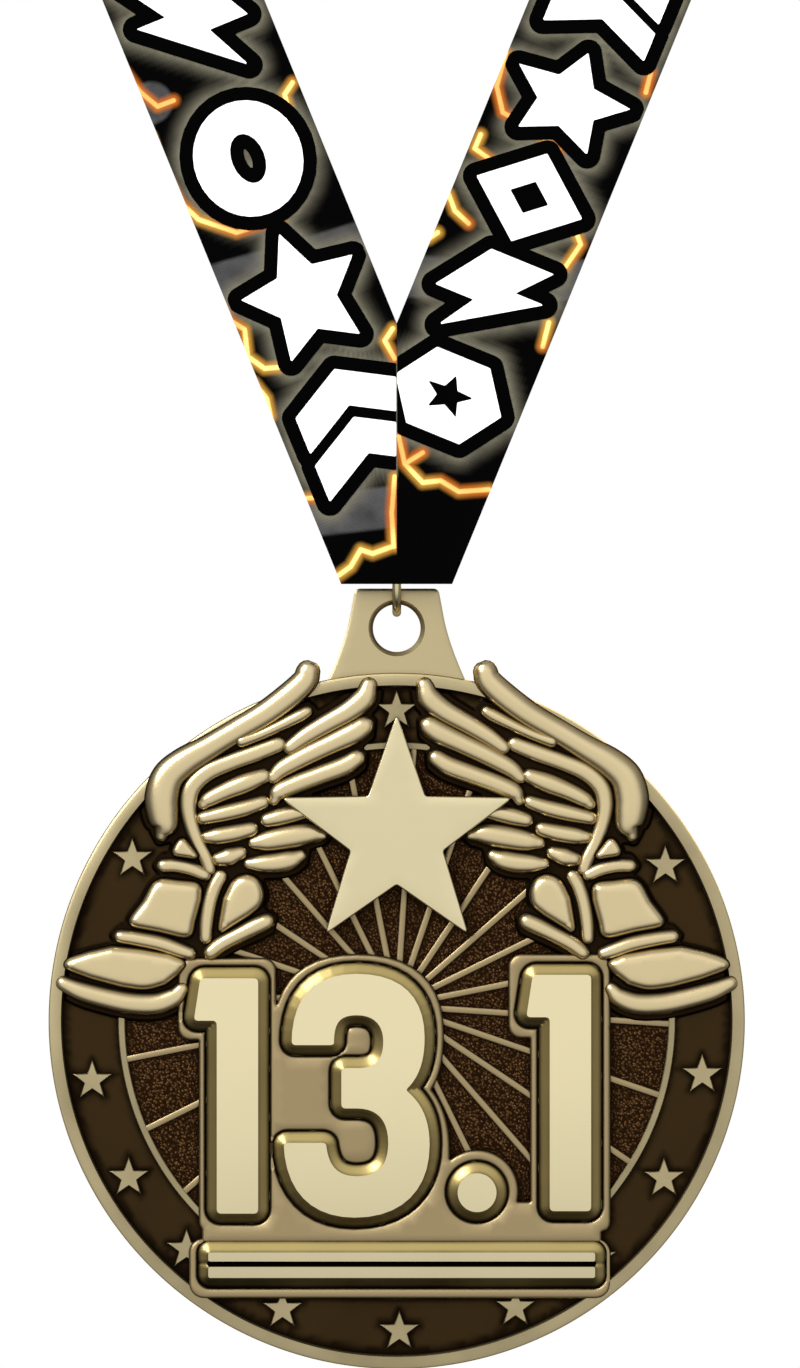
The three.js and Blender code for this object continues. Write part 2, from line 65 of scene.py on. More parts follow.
# Driving dimensions in millimetres, as in the model. A top is a y, below zero towards the front.
DISC_RADIUS = 35.0
RIM_WIDTH = 1.35
RING_RADIUS = 28.1
RING_WIDTH = 0.85
BACK = 1.5
FIELD = -0.5
RAY_TOP = -1.0
SMALL_STAR_TOP = -1.1
RIM_TOP = -1.5
PLATE_TOP = -1.7
DIGIT_TOP = -2.5
STAR_TOP = -2.9
SLOPE = 1.05
TAB_TOP = 43.47
TAB_HALF_THICK = 1.1
HOLE_Z = 39.5
HOLE_RADIUS = 2.4
HOLE_CHAMFER = 0.44
STAR_Z = 18.66
STAR_RADIUS = 12.3
STAR_WAIST = 0.4
SMALL_STAR_ORBIT = 31.2
SMALL_STAR_RADIUS = 2.15
RAY_TURN = -3.8
RAY_PITCH = 15
RAY_WIDTH = 0.7
RAY_HUB_Z = 1.5
WIRE = 0.9
RING_BORE = 5.0
RING_GAP = 0.3
RING_Z = HOLE_Z + HOLE_RADIUS - 0.37 + RING_BORE / 2
RIBBON_WIDTH = 15.0
RIBBON_THICK = 0.6
RIBBON_LEAN = math.radians(22.25)
RIBBON_FRONT = -4.2
RIBBON_FOOT = 43.87
MITRE_Z = 50.11
STRAIGHT = 75.0
TAPE_WIDTH = 6.0
TAPE_THICK = 0.6
TAPE_FOOT = 45.0
TAPE_HOLE = (2.5, 46.2, 48.6)   # its width, bottom and top
TAPE_TOP = 67
TAPE_Y = RIBBON_FRONT + (RIBBON_THICK + TAPE_THICK) / 2 + 0.35
TACK_HALF_WIDTH, TACK_ROW_GAP = 2.4, 0.4
TACK_PLACES = (("lower", 58.5), ("upper", 65.0))
THREAD_RADIUS, STITCH_LENGTH, STITCH_COUNT = 0.13, 1.9, 9

cast_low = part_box("medal_casting")[0]
CENTRE = np.array([0.0, cast_low[1] - STAR_TOP * MM, cast_low[2] + DISC_RADIUS * MM])


# ---------------------------------------------------------------- outlines in x and z
def loop_of(points):
    return np.array(points, dtype=float)


def mirrored(loop):
    flipped = loop[::-1].copy()
    flipped[:, 0] *= -1
    return flipped


def star_loop(x, z, radius, waist):
    turns = math.pi / 2 + np.arange(10) * math.pi / 5
    reach = np.where(np.arange(10) % 2, radius * waist, radius)
    return np.stack([x + reach * np.cos(turns), z + reach * np.sin(turns)], axis=1)


def circle_loop(x, z, radius, count=48):
    turns = np.arange(count) * TAU / count
    return np.stack([x + radius * np.cos(turns), z + radius * np.sin(turns)], axis=1)


def round_box(left, bottom, right, top, r, count=5):
    corners = [(right - r, top - r), (left + r, top - r), (left + r, bottom + r), (right - r, bottom + r)]
    points = []
    for quarter, (x, z) in enumerate(corners):
        for step in range(count + 1):
            turn = (quarter + step / count) * math.pi / 2
            points.append((x + r * math.cos(turn), z + r * math.sin(turn)))
    return loop_of(points)


def turning(loop):
    """Twice the area of an outline, below zero where it runs clockwise."""
    following = np.roll(loop, -1, axis=0)
    return float(np.sum(loop[:, 0] * following[:, 1] - following[:, 0] * loop[:, 1]))


def bezier_loop(start, *parts, count=10):
    """A closed outline from a start, then (x, z) for a straight run or three pairs for a curve."""
    points = [np.array(start, dtype=float)]
    for part in parts:
        if len(part) == 2:
            points.append(np.array(part, dtype=float))
            continue
        p0 = points[-1]
        p1, p2, p3 = (np.array(part[i:i + 2], dtype=float) for i in (0, 2, 4))
        for step in range(1, count + 1):
            t = step / count
            points.append((1 - t) ** 3 * p0 + 3 * (1 - t) ** 2 * t * p1
                          + 3 * (1 - t) * t * t * p2 + t ** 3 * p3)
    if np.linalg.norm(points[0] - points[-1]) < 1e-6:
        points.pop()
    loop = np.array(points)
    return loop if turning(loop) > 0 else loop[::-1].copy()


def spline(points, per_span):
    """A smooth line through rows of numbers, by Catmull and Rom's rule."""
    rows = np.array(points, dtype=float)
    padded = np.vstack([2 * rows[0] - rows[1], rows, 2 * rows[-1] - rows[-2]])
    out = []
    for i in range(len(rows) - 1):
        p0, p1, p2, p3 = padded[i:i + 4]
        for step in range(per_span):
            t = step / per_span
            out.append(0.5 * (2 * p1 + (p2 - p0) * t + (2 * p0 - 5 * p1 + 4 * p2 - p3) * t * t
                              + (3 * p1 - p0 - 3 * p2 + p3) * t ** 3))
    out.append(rows[-1])
    return np.array(out)


STRAIGHT_ENOUGH = -0.93   # the cosine past which a corner is left alone
MOST_OF_A_SIDE = 0.45


def eased(points, reach, count=4):
    """A closed outline whose clear corners are rounded off over a reach along each side."""
    points = np.array(points)
    out = []
    for before, corner, after in zip(np.roll(points, 1, axis=0), points, np.roll(points, -1, axis=0)):
        sides = [side - corner for side in (before, after)]
        spans = [np.linalg.norm(side) for side in sides]
        if sides[0] @ sides[1] < STRAIGHT_ENOUGH * spans[0] * spans[1]:
            out.append(corner)
            continue
        near, far = (side * min(reach / span, MOST_OF_A_SIDE) for side, span in zip(sides, spans))
        out.extend(corner + near * (1 - t) ** 2 + far * t * t for t in np.linspace(0, 1, count + 1))
    return np.array(out)


# ---------------------------------------------------------------- distance fields
def runs_of(loops):
    """The corners of all the outlines, and the straight run from each to the next."""
    return np.vstack(loops), np.vstack([np.roll(loop, -1, axis=0) - loop for loop in loops])


BATCH = 500000


def in_batches(points, count):
    return np.array_split(points, len(points) * count // BATCH + 1)


def edge_distance(points, loops):
    """How far each point is from the nearest outline."""
    starts, spans = runs_of(loops)
    square = np.maximum((spans ** 2).sum(axis=1), 1e-12)
    near = []
    for batch in in_batches(points, len(starts)):
        x, z = batch[:, :1] - starts[:, 0], batch[:, 1:] - starts[:, 1]
        t = np.clip((x * spans[:, 0] + z * spans[:, 1]) / square, 0, 1)
        near.append(np.sqrt(((x - t * spans[:, 0]) ** 2 + (z - t * spans[:, 1]) ** 2).min(axis=1)))
    return np.hstack(near)


def region(points, loops):
    """True for points inside an odd number of outlines."""
    starts, spans = runs_of(loops)
    keep = spans[:, 1] != 0
    starts, spans = starts[keep], spans[keep]
    odd = []
    for batch in in_batches(points, len(starts)):
        x, z = batch[:, :1], batch[:, 1:]
        straddles = (starts[:, 1] > z) != (starts[:, 1] + spans[:, 1] > z)
        where = starts[:, 0] + (z - starts[:, 1]) * spans[:, 0] / spans[:, 1]
        odd.append((straddles & (x < where)).sum(axis=1) % 2 == 1)
    return np.hstack(odd)


def distance(points, loops):
    """The distance to the joined outlines, below zero inside any of them."""
    return np.min([np.where(region(points, [loop]), -1, 1) * edge_distance(points, [loop])
                   for loop in loops], axis=0)


def grid_over(loops, margin, step):
    every = np.vstack(loops)
    low, high = every.min(axis=0) - margin, every.max(axis=0) + margin
    return np.arange(low[0], high[0] + step, step), np.arange(low[1], high[1] + step, step)


def grid_field(loops, xs, zs, reach):
    """The distance to the outlines over a grid, up to reach, below zero inside them."""
    near = np.full((len(xs), len(zs)), float(reach))
    crossings = np.zeros((len(xs) + 1, len(zs)), dtype=int)
    starts, spans = runs_of(loops)
    for (ax, az), (dx, dz) in zip(starts, spans):
        i, i_end = np.searchsorted(xs, (min(ax, ax + dx) - reach, max(ax, ax + dx) + reach))
        j, j_end = np.searchsorted(zs, (min(az, az + dz) - reach, max(az, az + dz) + reach))
        x, z = xs[i:i_end, None] - ax, zs[None, j:j_end] - az
        t = np.clip((x * dx + z * dz) / max(dx * dx + dz * dz, 1e-12), 0, 1)
        here = near[i:i_end, j:j_end]
        np.minimum(here, np.hypot(x - t * dx, z - t * dz), out=here)
        if dz:
            j, j_end = np.searchsorted(zs, sorted((az, az + dz)))
            where = ax + (zs[j:j_end] - az) * dx / dz
            np.add.at(crossings, (np.searchsorted(xs, where), np.arange(j, j_end)), 1)
    inside = np.cumsum(crossings[::-1], axis=0)[::-1][1:] % 2 == 1
    return np.where(inside, -near, near)


CLOSEST_CORNERS = 0.35   # of a grid step
FEWEST_CORNERS = 5


def contours(values, xs, zs):
    """The closed outlines on which a field on a grid is zero, with its inside on the left."""
    field = values + 1e-9
    inside = field < 0
    within = inside[:-1, :-1].astype(int) + inside[1:, :-1] + inside[1:, 1:] + inside[:-1, 1:]
    follows = {}
    places = {}
    for i, j in zip(*np.nonzero((within > 0) & (within < 4))):
        corners = [(i, j), (i + 1, j), (i + 1, j + 1), (i, j + 1)]
        edges = [(i, j, 0), (i + 1, j, 1), (i, j + 1, 0), (i, j, 1)]
        leaving, entering = [], []
        for k in range(4):
            a, b = corners[k], corners[(k + 1) % 4]
            if inside[a] == inside[b]:
                continue
            t = field[a] / (field[a] - field[b])
            places[edges[k]] = (xs[a[0]] + t * (xs[b[0]] - xs[a[0]]),
                                zs[a[1]] + t * (zs[b[1]] - zs[a[1]]))
            (leaving if inside[a] else entering).append(k)
        for k in leaving:
            back = next(m for m in ((k - 1) % 4, (k - 2) % 4, (k - 3) % 4) if m in entering)
            follows[edges[k]] = edges[back]
    loops = []
    step = xs[1] - xs[0]
    while follows:
        first, edge = next(iter(follows.items()))
        del follows[first]
        trail = [places[first]]
        while edge != first and edge in follows:
            if math.dist(places[edge], trail[-1]) > step * CLOSEST_CORNERS:
                trail.append(places[edge])
            edge = follows.pop(edge)
        if len(trail) > FEWEST_CORNERS:
            loops.append(np.array(trail))
    return loops


def grown(loops, amount, step=0.15, holes=(), hole_margin=0.0, within=1e3):
    """Outlines moved out by an amount, joined where they meet, less the grown holes."""
    xs, zs = grid_over(loops, abs(amount) + 3 * step, step)
    reach = abs(amount) + 2 * step
    values = np.min([grid_field([loop], xs, zs, reach) for loop in loops], axis=0) - amount
    for hole in holes:
        values = np.maximum(values, hole_margin - grid_field([hole], xs, zs, hole_margin + 2 * step))
    values = np.maximum(values, np.hypot(xs[:, None], zs[None]) - within)
    return contours(values, xs, zs)


def grown_inside(loops, reaches, step=0.12):
    """The lines at set distances inside the outlines."""
    xs, zs = grid_over(loops, 3 * step, step)
    values = grid_field(loops, xs, zs, max(reaches) + 2 * step)
    return [line for reach in reaches for line in contours(values + reach, xs, zs)]


def even(loop, spacing):
    """An outline with its long runs divided, keeping every corner."""
    out = []
    for a, b in zip(loop, np.roll(loop, -1, axis=0)):
        count = max(1, int(round(np.linalg.norm(b - a) / spacing)))
        out.extend(a + (b - a) * k / count for k in range(count))
    return np.array(out)


def inset(loop, reach):
    """A simple outline moved in by a small reach, its corners kept sharp."""
    before, after = loop - np.roll(loop, 1, axis=0), np.roll(loop, -1, axis=0) - loop
    before /= np.linalg.norm(before, axis=1)[:, None]
    after /= np.linalg.norm(after, axis=1)[:, None]
    in_a, in_b = (np.stack([-run[:, 1], run[:, 0]], axis=1) for run in (before, after))
    spread = np.maximum(1 + (in_a * in_b).sum(axis=1), 0.25)
    return loop + (in_a + in_b) / spread[:, None] * reach


def triangulated(loops, inner, creases=()):
    """Points and triangles that fill the outlines, through inner points and along crease lines."""
    points, edges = [], []
    for loop in [*loops, *creases]:
        first = len(points)
        points.extend(loop)
        edges.extend((first + i, first + (i + 1) % len(loop)) for i in range(len(loop)))
    points.extend(inner)
    flat, _, faces, *_ = geometry.delaunay_2d_cdt([Vector(p) for p in points], edges, [], 0, 1e-5)
    flat = np.array([tuple(p) for p in flat])
    faces = np.array(faces)
    middles = flat[faces].mean(axis=1)
    return flat, faces[region(middles, loops)]


HEX_ROW = 0.866


def hex_points(loops, spacing, clear):
    """Evenly staggered points inside the outlines, clear of their edges."""
    every = np.vstack(loops)
    low, high = every.min(axis=0), every.max(axis=0)
    rows = []
    for k, z in enumerate(np.arange(low[1], high[1], spacing * HEX_ROW)):
        x = np.arange(low[0] + (k % 2) * spacing / 2, high[0], spacing)
        rows.append(np.stack([x, np.full_like(x, z)], axis=1))
    points = np.vstack(rows)
    points = points[region(points, loops)]
    return points[edge_distance(points, loops) > clear]


def closed(faces, count):
    """Front triangles, the same turned over for a back, and walls round every open edge."""
    used = {(a, b) for face in faces for a, b in zip(face, np.roll(face, -1))}
    walls = [(a, a + count, b + count, b) for a, b in used if (b, a) not in used]
    return [*faces, *walls, *[(a + count, c + count, b + count) for a, b, c in faces]]


# ---------------------------------------------------------------- meshes
class Shape:
    """Vertices in millimetres, faces, and how polished each vertex is, with painted shade and highlights in
    places, gathered for one piece.
    """

    def __init__(self):
        self.points, self.faces, self.shine, self.finish = [], [], [], []
        self.count = 0

    def add(self, points, faces, shine, finish=0):
        points = np.asarray(points, dtype=float)
        self.points.append(points)
        self.faces.extend([tuple(int(i) + self.count for i in face) for face in faces])
        self.finish.extend([finish] * len(faces))
        self.shine.append(np.broadcast_to(shine, len(points)).astype(float))
        self.count += len(points)

    def piece(self, name, *materials, crease=35):
        mesh = bpy.data.meshes.new(name)
        places = np.vstack(self.points) * MM + CENTRE
        mesh.from_pydata([tuple(p) for p in places], [], self.faces)
        for material in materials:
            mesh.materials.append(material)
        mesh.polygons.foreach_set("material_index", self.finish)
        polish_and_shade = mesh.attributes.new("shine", "FLOAT", "POINT")
        polish_and_shade.data.foreach_set("value", np.hstack(self.shine))
        mesh.polygons.foreach_set("use_smooth", [True] * len(mesh.polygons))
        mesh.set_sharp_from_angle(angle=math.radians(crease))
        mesh.update()
        thing = bpy.data.objects.new(name, mesh)
        bpy.context.scene.collection.objects.link(thing)
        return thing


def raised(shape, loops, rise, floor, rows, spacing, shine, crisp=False):
    """A closed relief inside the outlines. rise and shine are functions of the distance inside
    the edge, floor is its base along y, and rows are the distances that get a line of points."""
    inner = [inset(loop, row) for loop in loops for row in rows] if crisp else grown_inside(loops, rows)
    fill = hex_points(loops, spacing, max(rows) + spacing * 0.5)
    flat, faces = triangulated(loops, np.vstack([*inner, fill]))
    depth = edge_distance(flat, loops)
    base = np.stack([flat[:, 0], np.full(len(flat), floor), flat[:, 1]], axis=1)
    front = base - rise(depth)[:, None] * (0, 1, 0)
    shape.add(np.vstack([front, base]), closed(faces, len(flat)), np.hstack([shine(depth), 0 * depth]))


def dome(height, reach):
    """A rounded shoulder that rises over its reach and then runs flat."""
    return lambda d: height * np.sqrt(1 - (1 - np.clip(d / reach, 0, 1)) ** 2 * 0.98)


def softened(height, bevel):
    """A flat top whose edge is eased over its bevel."""
    return lambda d: height - bevel * (1 - np.clip(d / bevel, 0, 1)) ** 2


def smooth(value, low, high):
    """Nothing up to low and one from high on, with a smooth run between."""
    t = np.clip((value - low) / (high - low), 0, 1)
    return t * t * (3 - 2 * t)


def directions(path):
    """Unit vectors along a line and square to it."""
    ahead = np.gradient(path[:, :2], axis=0)
    ahead /= np.linalg.norm(ahead, axis=1)[:, None]
    return ahead, np.stack([-ahead[:, 1], ahead[:, 0]], axis=1)


# Each step of a rounded end: how far past the line's end, and how wide, as shares of the width.
FEATHER_ENDS = ((0.4, 0.9), (0.7, 0.68), (0.88, 0.35))
FEATHER_SIDE_POWER, FEATHER_CROWN_POWER = 0.9, 0.7
FLANK_SHADE = 0.42


def crowned_feather(shape, line, foot, ground, peak, across=14, per_span=6):
    """A feather: a smooth line of [x, z, half width] with a crowned section and rounded ends."""
    rows = np.array(line, dtype=float) + (0, 0, SWELL)
    heads = []
    for end, inward in ((0, 1), (-1, -2)):
        away = rows[end, :2] - rows[inward, :2]
        away /= np.linalg.norm(away)
        width = rows[end, 2]
        heads.append([[*(rows[end, :2] + away * width * past), width * share]
                      for past, share in FEATHER_ENDS])
    path = np.vstack([heads[0][::-1], spline(rows, per_span), heads[1]])
    side = directions(path)[1]
    widest = rows[:, 2].max()
    turns = np.linspace(0, math.pi, across)
    out = np.cos(turns)
    out = np.hstack([1, np.sign(out) * np.abs(out) ** FEATHER_SIDE_POWER, -1])
    up = np.hstack([0, np.sin(turns) ** FEATHER_CROWN_POWER, 0])
    base = np.hstack([foot, np.full(across, ground), foot])
    # Painted shade: each feather's upper flank is darker than its lower flank.
    shade = 1 - FLANK_SHADE * smooth(-out * np.sign(side[:, 1].mean()), -0.25, 0.95)
    points, polish_and_shade = [], []
    for (x, z, width), (sx, sz) in zip(path, side):
        crown = (peak - ground) * min(1.0, (width / widest) ** 0.5)
        points.extend([(x - sx * width * o, y + crown * u, z - sz * width * o)
                       for o, u, y in zip(out, up, base)])
        polish_and_shade.extend(smooth(up * min(1.0, width / widest * 2), 0.25, 0.92) * shade)
    count, across = len(path), across + 2
    faces = [(i * across + k, (i + 1) * across + k, (i + 1) * across + k + 1, i * across + k + 1)
             for i in range(count - 1) for k in range(across - 1)]
    under = [(i * across, i * across + across - 1, (i + 1) * across + across - 1, (i + 1) * across)
             for i in range(count - 1)]
    ends = [tuple(range(across))[::-1], tuple(range((count - 1) * across, count * across))]
    shape.add(points, [face[::-1] for face in [*faces, *under, *ends]], polish_and_shade)


# ---------------------------------------------------------------- the emblem's outlines
FEATHERS = {
    "arm": [(-8.9, 35.1, 0.85), (-9.3, 34.1, 0.95), (-10.9, 32.6, 1.0), (-13.2, 30.9, 0.95),
            (-15.9, 29.3, 0.9), (-18.9, 27.5, 0.95), (-21.4, 26.0, 1.15), (-23.0, 24.5, 1.3),
            (-23.6, 22.5, 1.4), (-23.5, 20.8, 1.3), (-23.3, 19.6, 1.0), (-23.6, 18.7, 0.4)],
    "branch": [(-15.6, 28.1, 0.3), (-13.9, 28.7, 0.24), (-11.9, 29.6, 0.28), (-9.9, 30.6, 0.36),
               (-9.0, 31.1, 0.28)],
    "band": [(-11.9, 27.8, 0.5), (-14.2, 26.9, 0.6), (-16.7, 26.0, 0.6), (-19.0, 25.0, 0.65),
             (-20.5, 23.6, 0.65), (-20.95, 21.9, 0.6), (-20.7, 20.0, 0.48), (-20.0, 18.0, 0.42),
             (-19.2, 16.4, 0.4), (-18.8, 15.3, 0.35)],
    "primary1": [(-2.8, 33.7, 0.55), (-3.3, 32.4, 0.85), (-4.9, 31.1, 0.8), (-7.2, 29.8, 0.7),
                 (-9.2, 28.6, 0.62), (-10.7, 27.5, 0.45)],
    "primary2": [(-3.3, 29.6, 0.75), (-4.4, 28.9, 0.85), (-6.7, 27.8, 0.75), (-9.2, 26.6, 0.7),
                 (-11.4, 25.4, 0.6), (-12.4, 24.5, 0.4)],
    "primary3": [(-4.0, 26.4, 0.6), (-5.3, 25.6, 0.72), (-7.7, 24.7, 0.7), (-10.1, 23.8, 0.68),
                 (-11.8, 23.0, 0.62), (-12.3, 22.2, 0.3)],
    "primary4": [(-8.6, 21.3, 0.5), (-10.1, 20.9, 0.55), (-11.8, 20.5, 0.58), (-13.0, 20.2, 0.45)],
    "primary5": [(-7.5, 18.7, 0.3), (-8.8, 18.8, 0.75), (-10.8, 18.5, 0.88), (-13.0, 18.1, 0.75),
                 (-14.3, 17.9, 0.35)],
    "primary6": [(-9.7, 16.6, 0.35), (-10.6, 16.2, 0.68), (-12.0, 15.9, 0.75), (-13.6, 15.8, 0.62),
                 (-14.8, 15.8, 0.3)],
    "secondary1": [(-13.4, 24.6, 0.5), (-15.2, 23.9, 0.72), (-17.2, 23.1, 0.62), (-18.8, 22.3, 0.5),
                   (-19.4, 21.8, 0.3)],
    "secondary2": [(-13.4, 22.0, 0.4), (-15.2, 21.4, 0.55), (-17.2, 20.9, 0.55), (-19.4, 20.4, 0.4)],
    "secondary3": [(-14.6, 19.3, 0.45), (-16.2, 18.9, 0.6), (-18.0, 18.6, 0.58), (-19.0, 18.5, 0.35)],
    "secondary4": [(-15.7, 16.9, 0.4), (-16.8, 16.5, 0.65), (-17.8, 16.3, 0.45)],
    "ankle": [(-23.4, 15.6, 0.4), (-22.2, 15.6, 0.42), (-20.7, 15.3, 0.42), (-19.3, 14.7, 0.35)],
    "strap": [(-17.7, 14.5, 0.42), (-18.3, 13.4, 0.45), (-18.8, 11.8, 0.46), (-19.1, 10.0, 0.45),
              (-19.2, 8.4, 0.38)],
    "arch": [(-13.1, 10.0, 0.55), (-14.2, 9.5, 0.6), (-15.8, 8.7, 0.52), (-17.5, 7.8, 0.5),
             (-18.7, 6.9, 0.42)],
    "collar": [(-27.7, 8.5, 0.4), (-26.2, 8.3, 0.46), (-23.7, 7.8, 0.5), (-21.7, 7.1, 0.46),
               (-20.8, 6.8, 0.36)],
    "sole": [(-33.5, 3.8, 0.42), (-31.7, 3.0, 0.68), (-29.2, 2.3, 0.76), (-26.7, 1.8, 0.8),
             (-24.2, 1.75, 0.8), (-22.4, 2.4, 0.66), (-21.6, 3.2, 0.4)],
}
PANELS = {
    "tongue": [(-22.6, 16.8), (-21.9, 18.1), (-21.4, 18.3), (-20.7, 17.4), (-19.9, 16.4), (-21.2, 16.6)],
    "quarter": [(-27.2, 9.7), (-23.9, 9.1), (-20.7, 8.3), (-20.4, 10.0), (-19.8, 12.2), (-19.7, 13.8),
                (-21.9, 14.0), (-24.2, 14.3), (-25.4, 12.0)],
    "heel": [(-17.9, 8.8), (-16.7, 9.6), (-14.9, 10.7), (-13.6, 11.7), (-13.4, 12.9), (-13.9, 14.2),
             (-15.1, 14.7), (-16.4, 14.2), (-17.3, 12.3)],
    "vamp": [(-33.4, 5.4), (-30.7, 4.4), (-27.7, 3.6), (-25.2, 3.2), (-23.3, 3.8), (-21.9, 4.9),
             (-21.1, 5.9), (-22.8, 6.6), (-25.7, 7.1), (-28.6, 7.4), (-30.8, 6.9), (-33.0, 6.2)],
}
FEATHER_GROUND = -1.15
SWELL = 0.4
FEATHER_PEAK = -2.4
FEATHER_PEAKS = {"arm": -2.8, "band": -2.1, "strap": -2.1, "ankle": -2.1}
PANEL_RISE = 1.35
WING_GROUND_MARGIN = 0.62


def feather_outline(line):
    path = spline(np.array(line) + (0, 0, SWELL), 3)
    ahead, side = directions(path)
    side = side * path[:, 2:3]
    caps = [path[0, :2] - ahead[0] * path[0, 2] * 0.8, path[-1, :2] + ahead[-1] * path[-1, 2] * 0.8]
    return np.vstack([caps[0][None], path[:, :2] - side, caps[1][None], (path[:, :2] + side)[::-1]])


DIGIT_CORNER = 0.45


def digit_one(stem_left, stem_right, flag_left, top, bottom):
    notch = top - 4.25
    return eased([(stem_left, bottom), (stem_right, bottom), (stem_right, top), (flag_left + 0.65, top),
                  (flag_left, notch), (stem_left, notch)], DIGIT_CORNER)


DIGIT_THREE = bezier_loop(
    (-10.55, -2.35), (-6.3, -2.35), (-6.3, -0.4, -6.0, 0.65, -4.0, 0.65),
    (-2.1, 0.65, -1.35, -0.5, -1.35, -2.0), (-1.35, -3.8, -2.1, -4.65, -3.8, -4.65), (-5.55, -4.65),
    (-5.55, -8.7), (-4.0, -8.7), (-1.9, -8.7, -0.85, -9.9, -0.85, -12.2),
    (-0.85, -14.4, -1.9, -15.5, -4.0, -15.5), (-6.2, -15.5, -6.9, -14.2, -7.1, -12.15),
    (-11.35, -12.15), (-11.2, -17.0, -8.6, -19.65, -4.2, -19.65),
    (0.6, -19.65, 3.3, -16.8, 3.3, -12.4), (3.3, -9.9, 2.6, -8.2, 0.9, -6.85),
    (2.3, -5.6, 2.8, -3.8, 2.8, -1.6), (2.8, 2.4, 0.6, 4.8, -4.0, 4.8),
    (-8.5, 4.8, -10.55, 2.3, -10.55, -2.35))
DIGITS = [digit_one(-18.05, -13.9, -20.35, 4.35, -19.25), eased(DIGIT_THREE, DIGIT_CORNER),
          circle_loop(8.06, -17.15, 1.95), digit_one(15.35, 19.5, 13.0, 4.7, -19.0)]
PLATE_THREE = bezier_loop(
    (-12.5, -1.0), (-12.2, 4.3, -9.2, 6.75, -3.9, 6.75), (1.8, 6.75, 4.75, 3.9, 4.75, -1.2),
    (4.75, -3.8, 4.4, -5.6, 3.5, -6.9), (4.7, -8.4, 5.35, -10.4, 5.35, -13.0),
    (5.35, -21.5), (-12.5, -21.5))
PLATES = [round_box(-22.0, -1.95, -12.1, 6.35, 1.3), round_box(-19.9, -21.2, -12.1, 0, 1.0),
          PLATE_THREE, round_box(-14, -21.4, -11, 1.4, 0.2), circle_loop(8.06, -17.15, 4.2),
          round_box(11.2, -1.75, 21.5, 6.75, 1.3), round_box(13.4, -21.2, 21.5, 0, 1.0),
          round_box(3, -22.3, 20.6, -18.15, 0.3), round_box(-19.6, -22.3, 5, -19.5, 0.3)]
BAR_PLATE = round_box(-20.9, -27.9, 21.5, -21.8, 1.5)
BARS = [round_box(-18.9, -24.05, 19.9, -23.15, 0.2), round_box(-18.9, -25.7, 19.9, -24.6, 0.2)]
BOTH_BARS = round_box(-18.9, -25.7, 19.9, -23.15, 0.2)
BAR_SEAM_Z = -24.325
STAR = star_loop(0, STAR_Z, STAR_RADIUS, STAR_WAIST)
SMALL_STAR_TURNS = (90, 148.4, 191.1, 210.3, 227.4, 248.4, 270.5, 292.5, 310, 329.5, 350, 30)
SMALL_STARS = [(SMALL_STAR_ORBIT * math.cos(math.radians(t)), SMALL_STAR_ORBIT * math.sin(math.radians(t)))
          for t in SMALL_STAR_TURNS]
PANEL_CORNER = 1.2
WING_LOOPS = [feather_outline(line) for line in FEATHERS.values()]
WING_LOOPS += [eased(outline, PANEL_CORNER) for outline in PANELS.values()]
PANEL_GROWTH = 0.32


def ray_loops():
    """The rays' outlines, spread round a hub a little above the disc's centre."""
    loops = []
    for k in range(360 // RAY_PITCH):
        turn = math.radians(RAY_TURN + k * RAY_PITCH)
        along = np.array([math.cos(turn), math.sin(turn)])
        side = np.array([-along[1], along[0]]) * RAY_WIDTH / 2
        hub = along[1] * RAY_HUB_Z
        reach = -hub + math.sqrt(hub * hub - RAY_HUB_Z ** 2 + (RING_RADIUS - 0.3) ** 2)
        base = np.array([0, RAY_HUB_Z])
        loops.append(np.array([base + along * 3 - side, base + along * reach - side,
                               base + along * reach + side, base + along * 3 + side]))
    return loops


# ---------------------------------------------------------------- finishes
def nodes_of(material):
    material.use_nodes = True
    tree = material.node_tree
    return tree, tree.nodes["Principled BSDF"]


def plug(tree, socket, value):
    """Links a socket to another node's output, or gives it a constant."""
    if isinstance(value, bpy.types.NodeSocket):
        tree.links.new(value, socket)
    else:
        socket.default_value = value


def node(tree, kind, *inputs, **settings):
    made = tree.nodes.new(kind)
    for name, value in settings.items():
        setattr(made, name, value)
    for socket, value in inputs:
        plug(tree, made.inputs[socket], value)
    return made


def math_node(tree, operation, *values):
    return node(tree, "ShaderNodeMath", *enumerate(values), operation=operation).outputs[0]


def mixed(tree, factor, low, high):
    """Runs from one colour to another."""
    low, high = (c if isinstance(c, bpy.types.NodeSocket) else (*c, 1) for c in (low, high))
    return node(tree, "ShaderNodeMix", (0, factor), (6, low), (7, high), data_type="RGBA").outputs[2]


def ranged(tree, value, low, high, out_low=0.0, out_high=1.0):
    """A smooth run from out_low, where the value is low, to out_high."""
    numbers = enumerate((value, low, high, out_low, out_high))
    return node(tree, "ShaderNodeMapRange", *numbers, interpolation_type="SMOOTHSTEP").outputs[0]


def bumped(tree, shader, height, strength, depth):
    bump = node(tree, "ShaderNodeBump", ("Strength", strength), ("Distance", depth * MM), ("Height", height))
    tree.links.new(bump.outputs[0], shader.inputs["Normal"])


def node_group(name, kind, inputs, outputs):
    """An empty group with named sockets, given as (name, kind of value), and its two end nodes."""
    tree = bpy.data.node_groups.new(name, kind)
    for side, sockets in (("INPUT", inputs), ("OUTPUT", outputs)):
        for label, value in sockets:
            tree.interface.new_socket(label, in_out=side, socket_type=f"NodeSocket{value}")
    return tree, tree.nodes.new("NodeGroupInput").outputs, tree.nodes.new("NodeGroupOutput").inputs


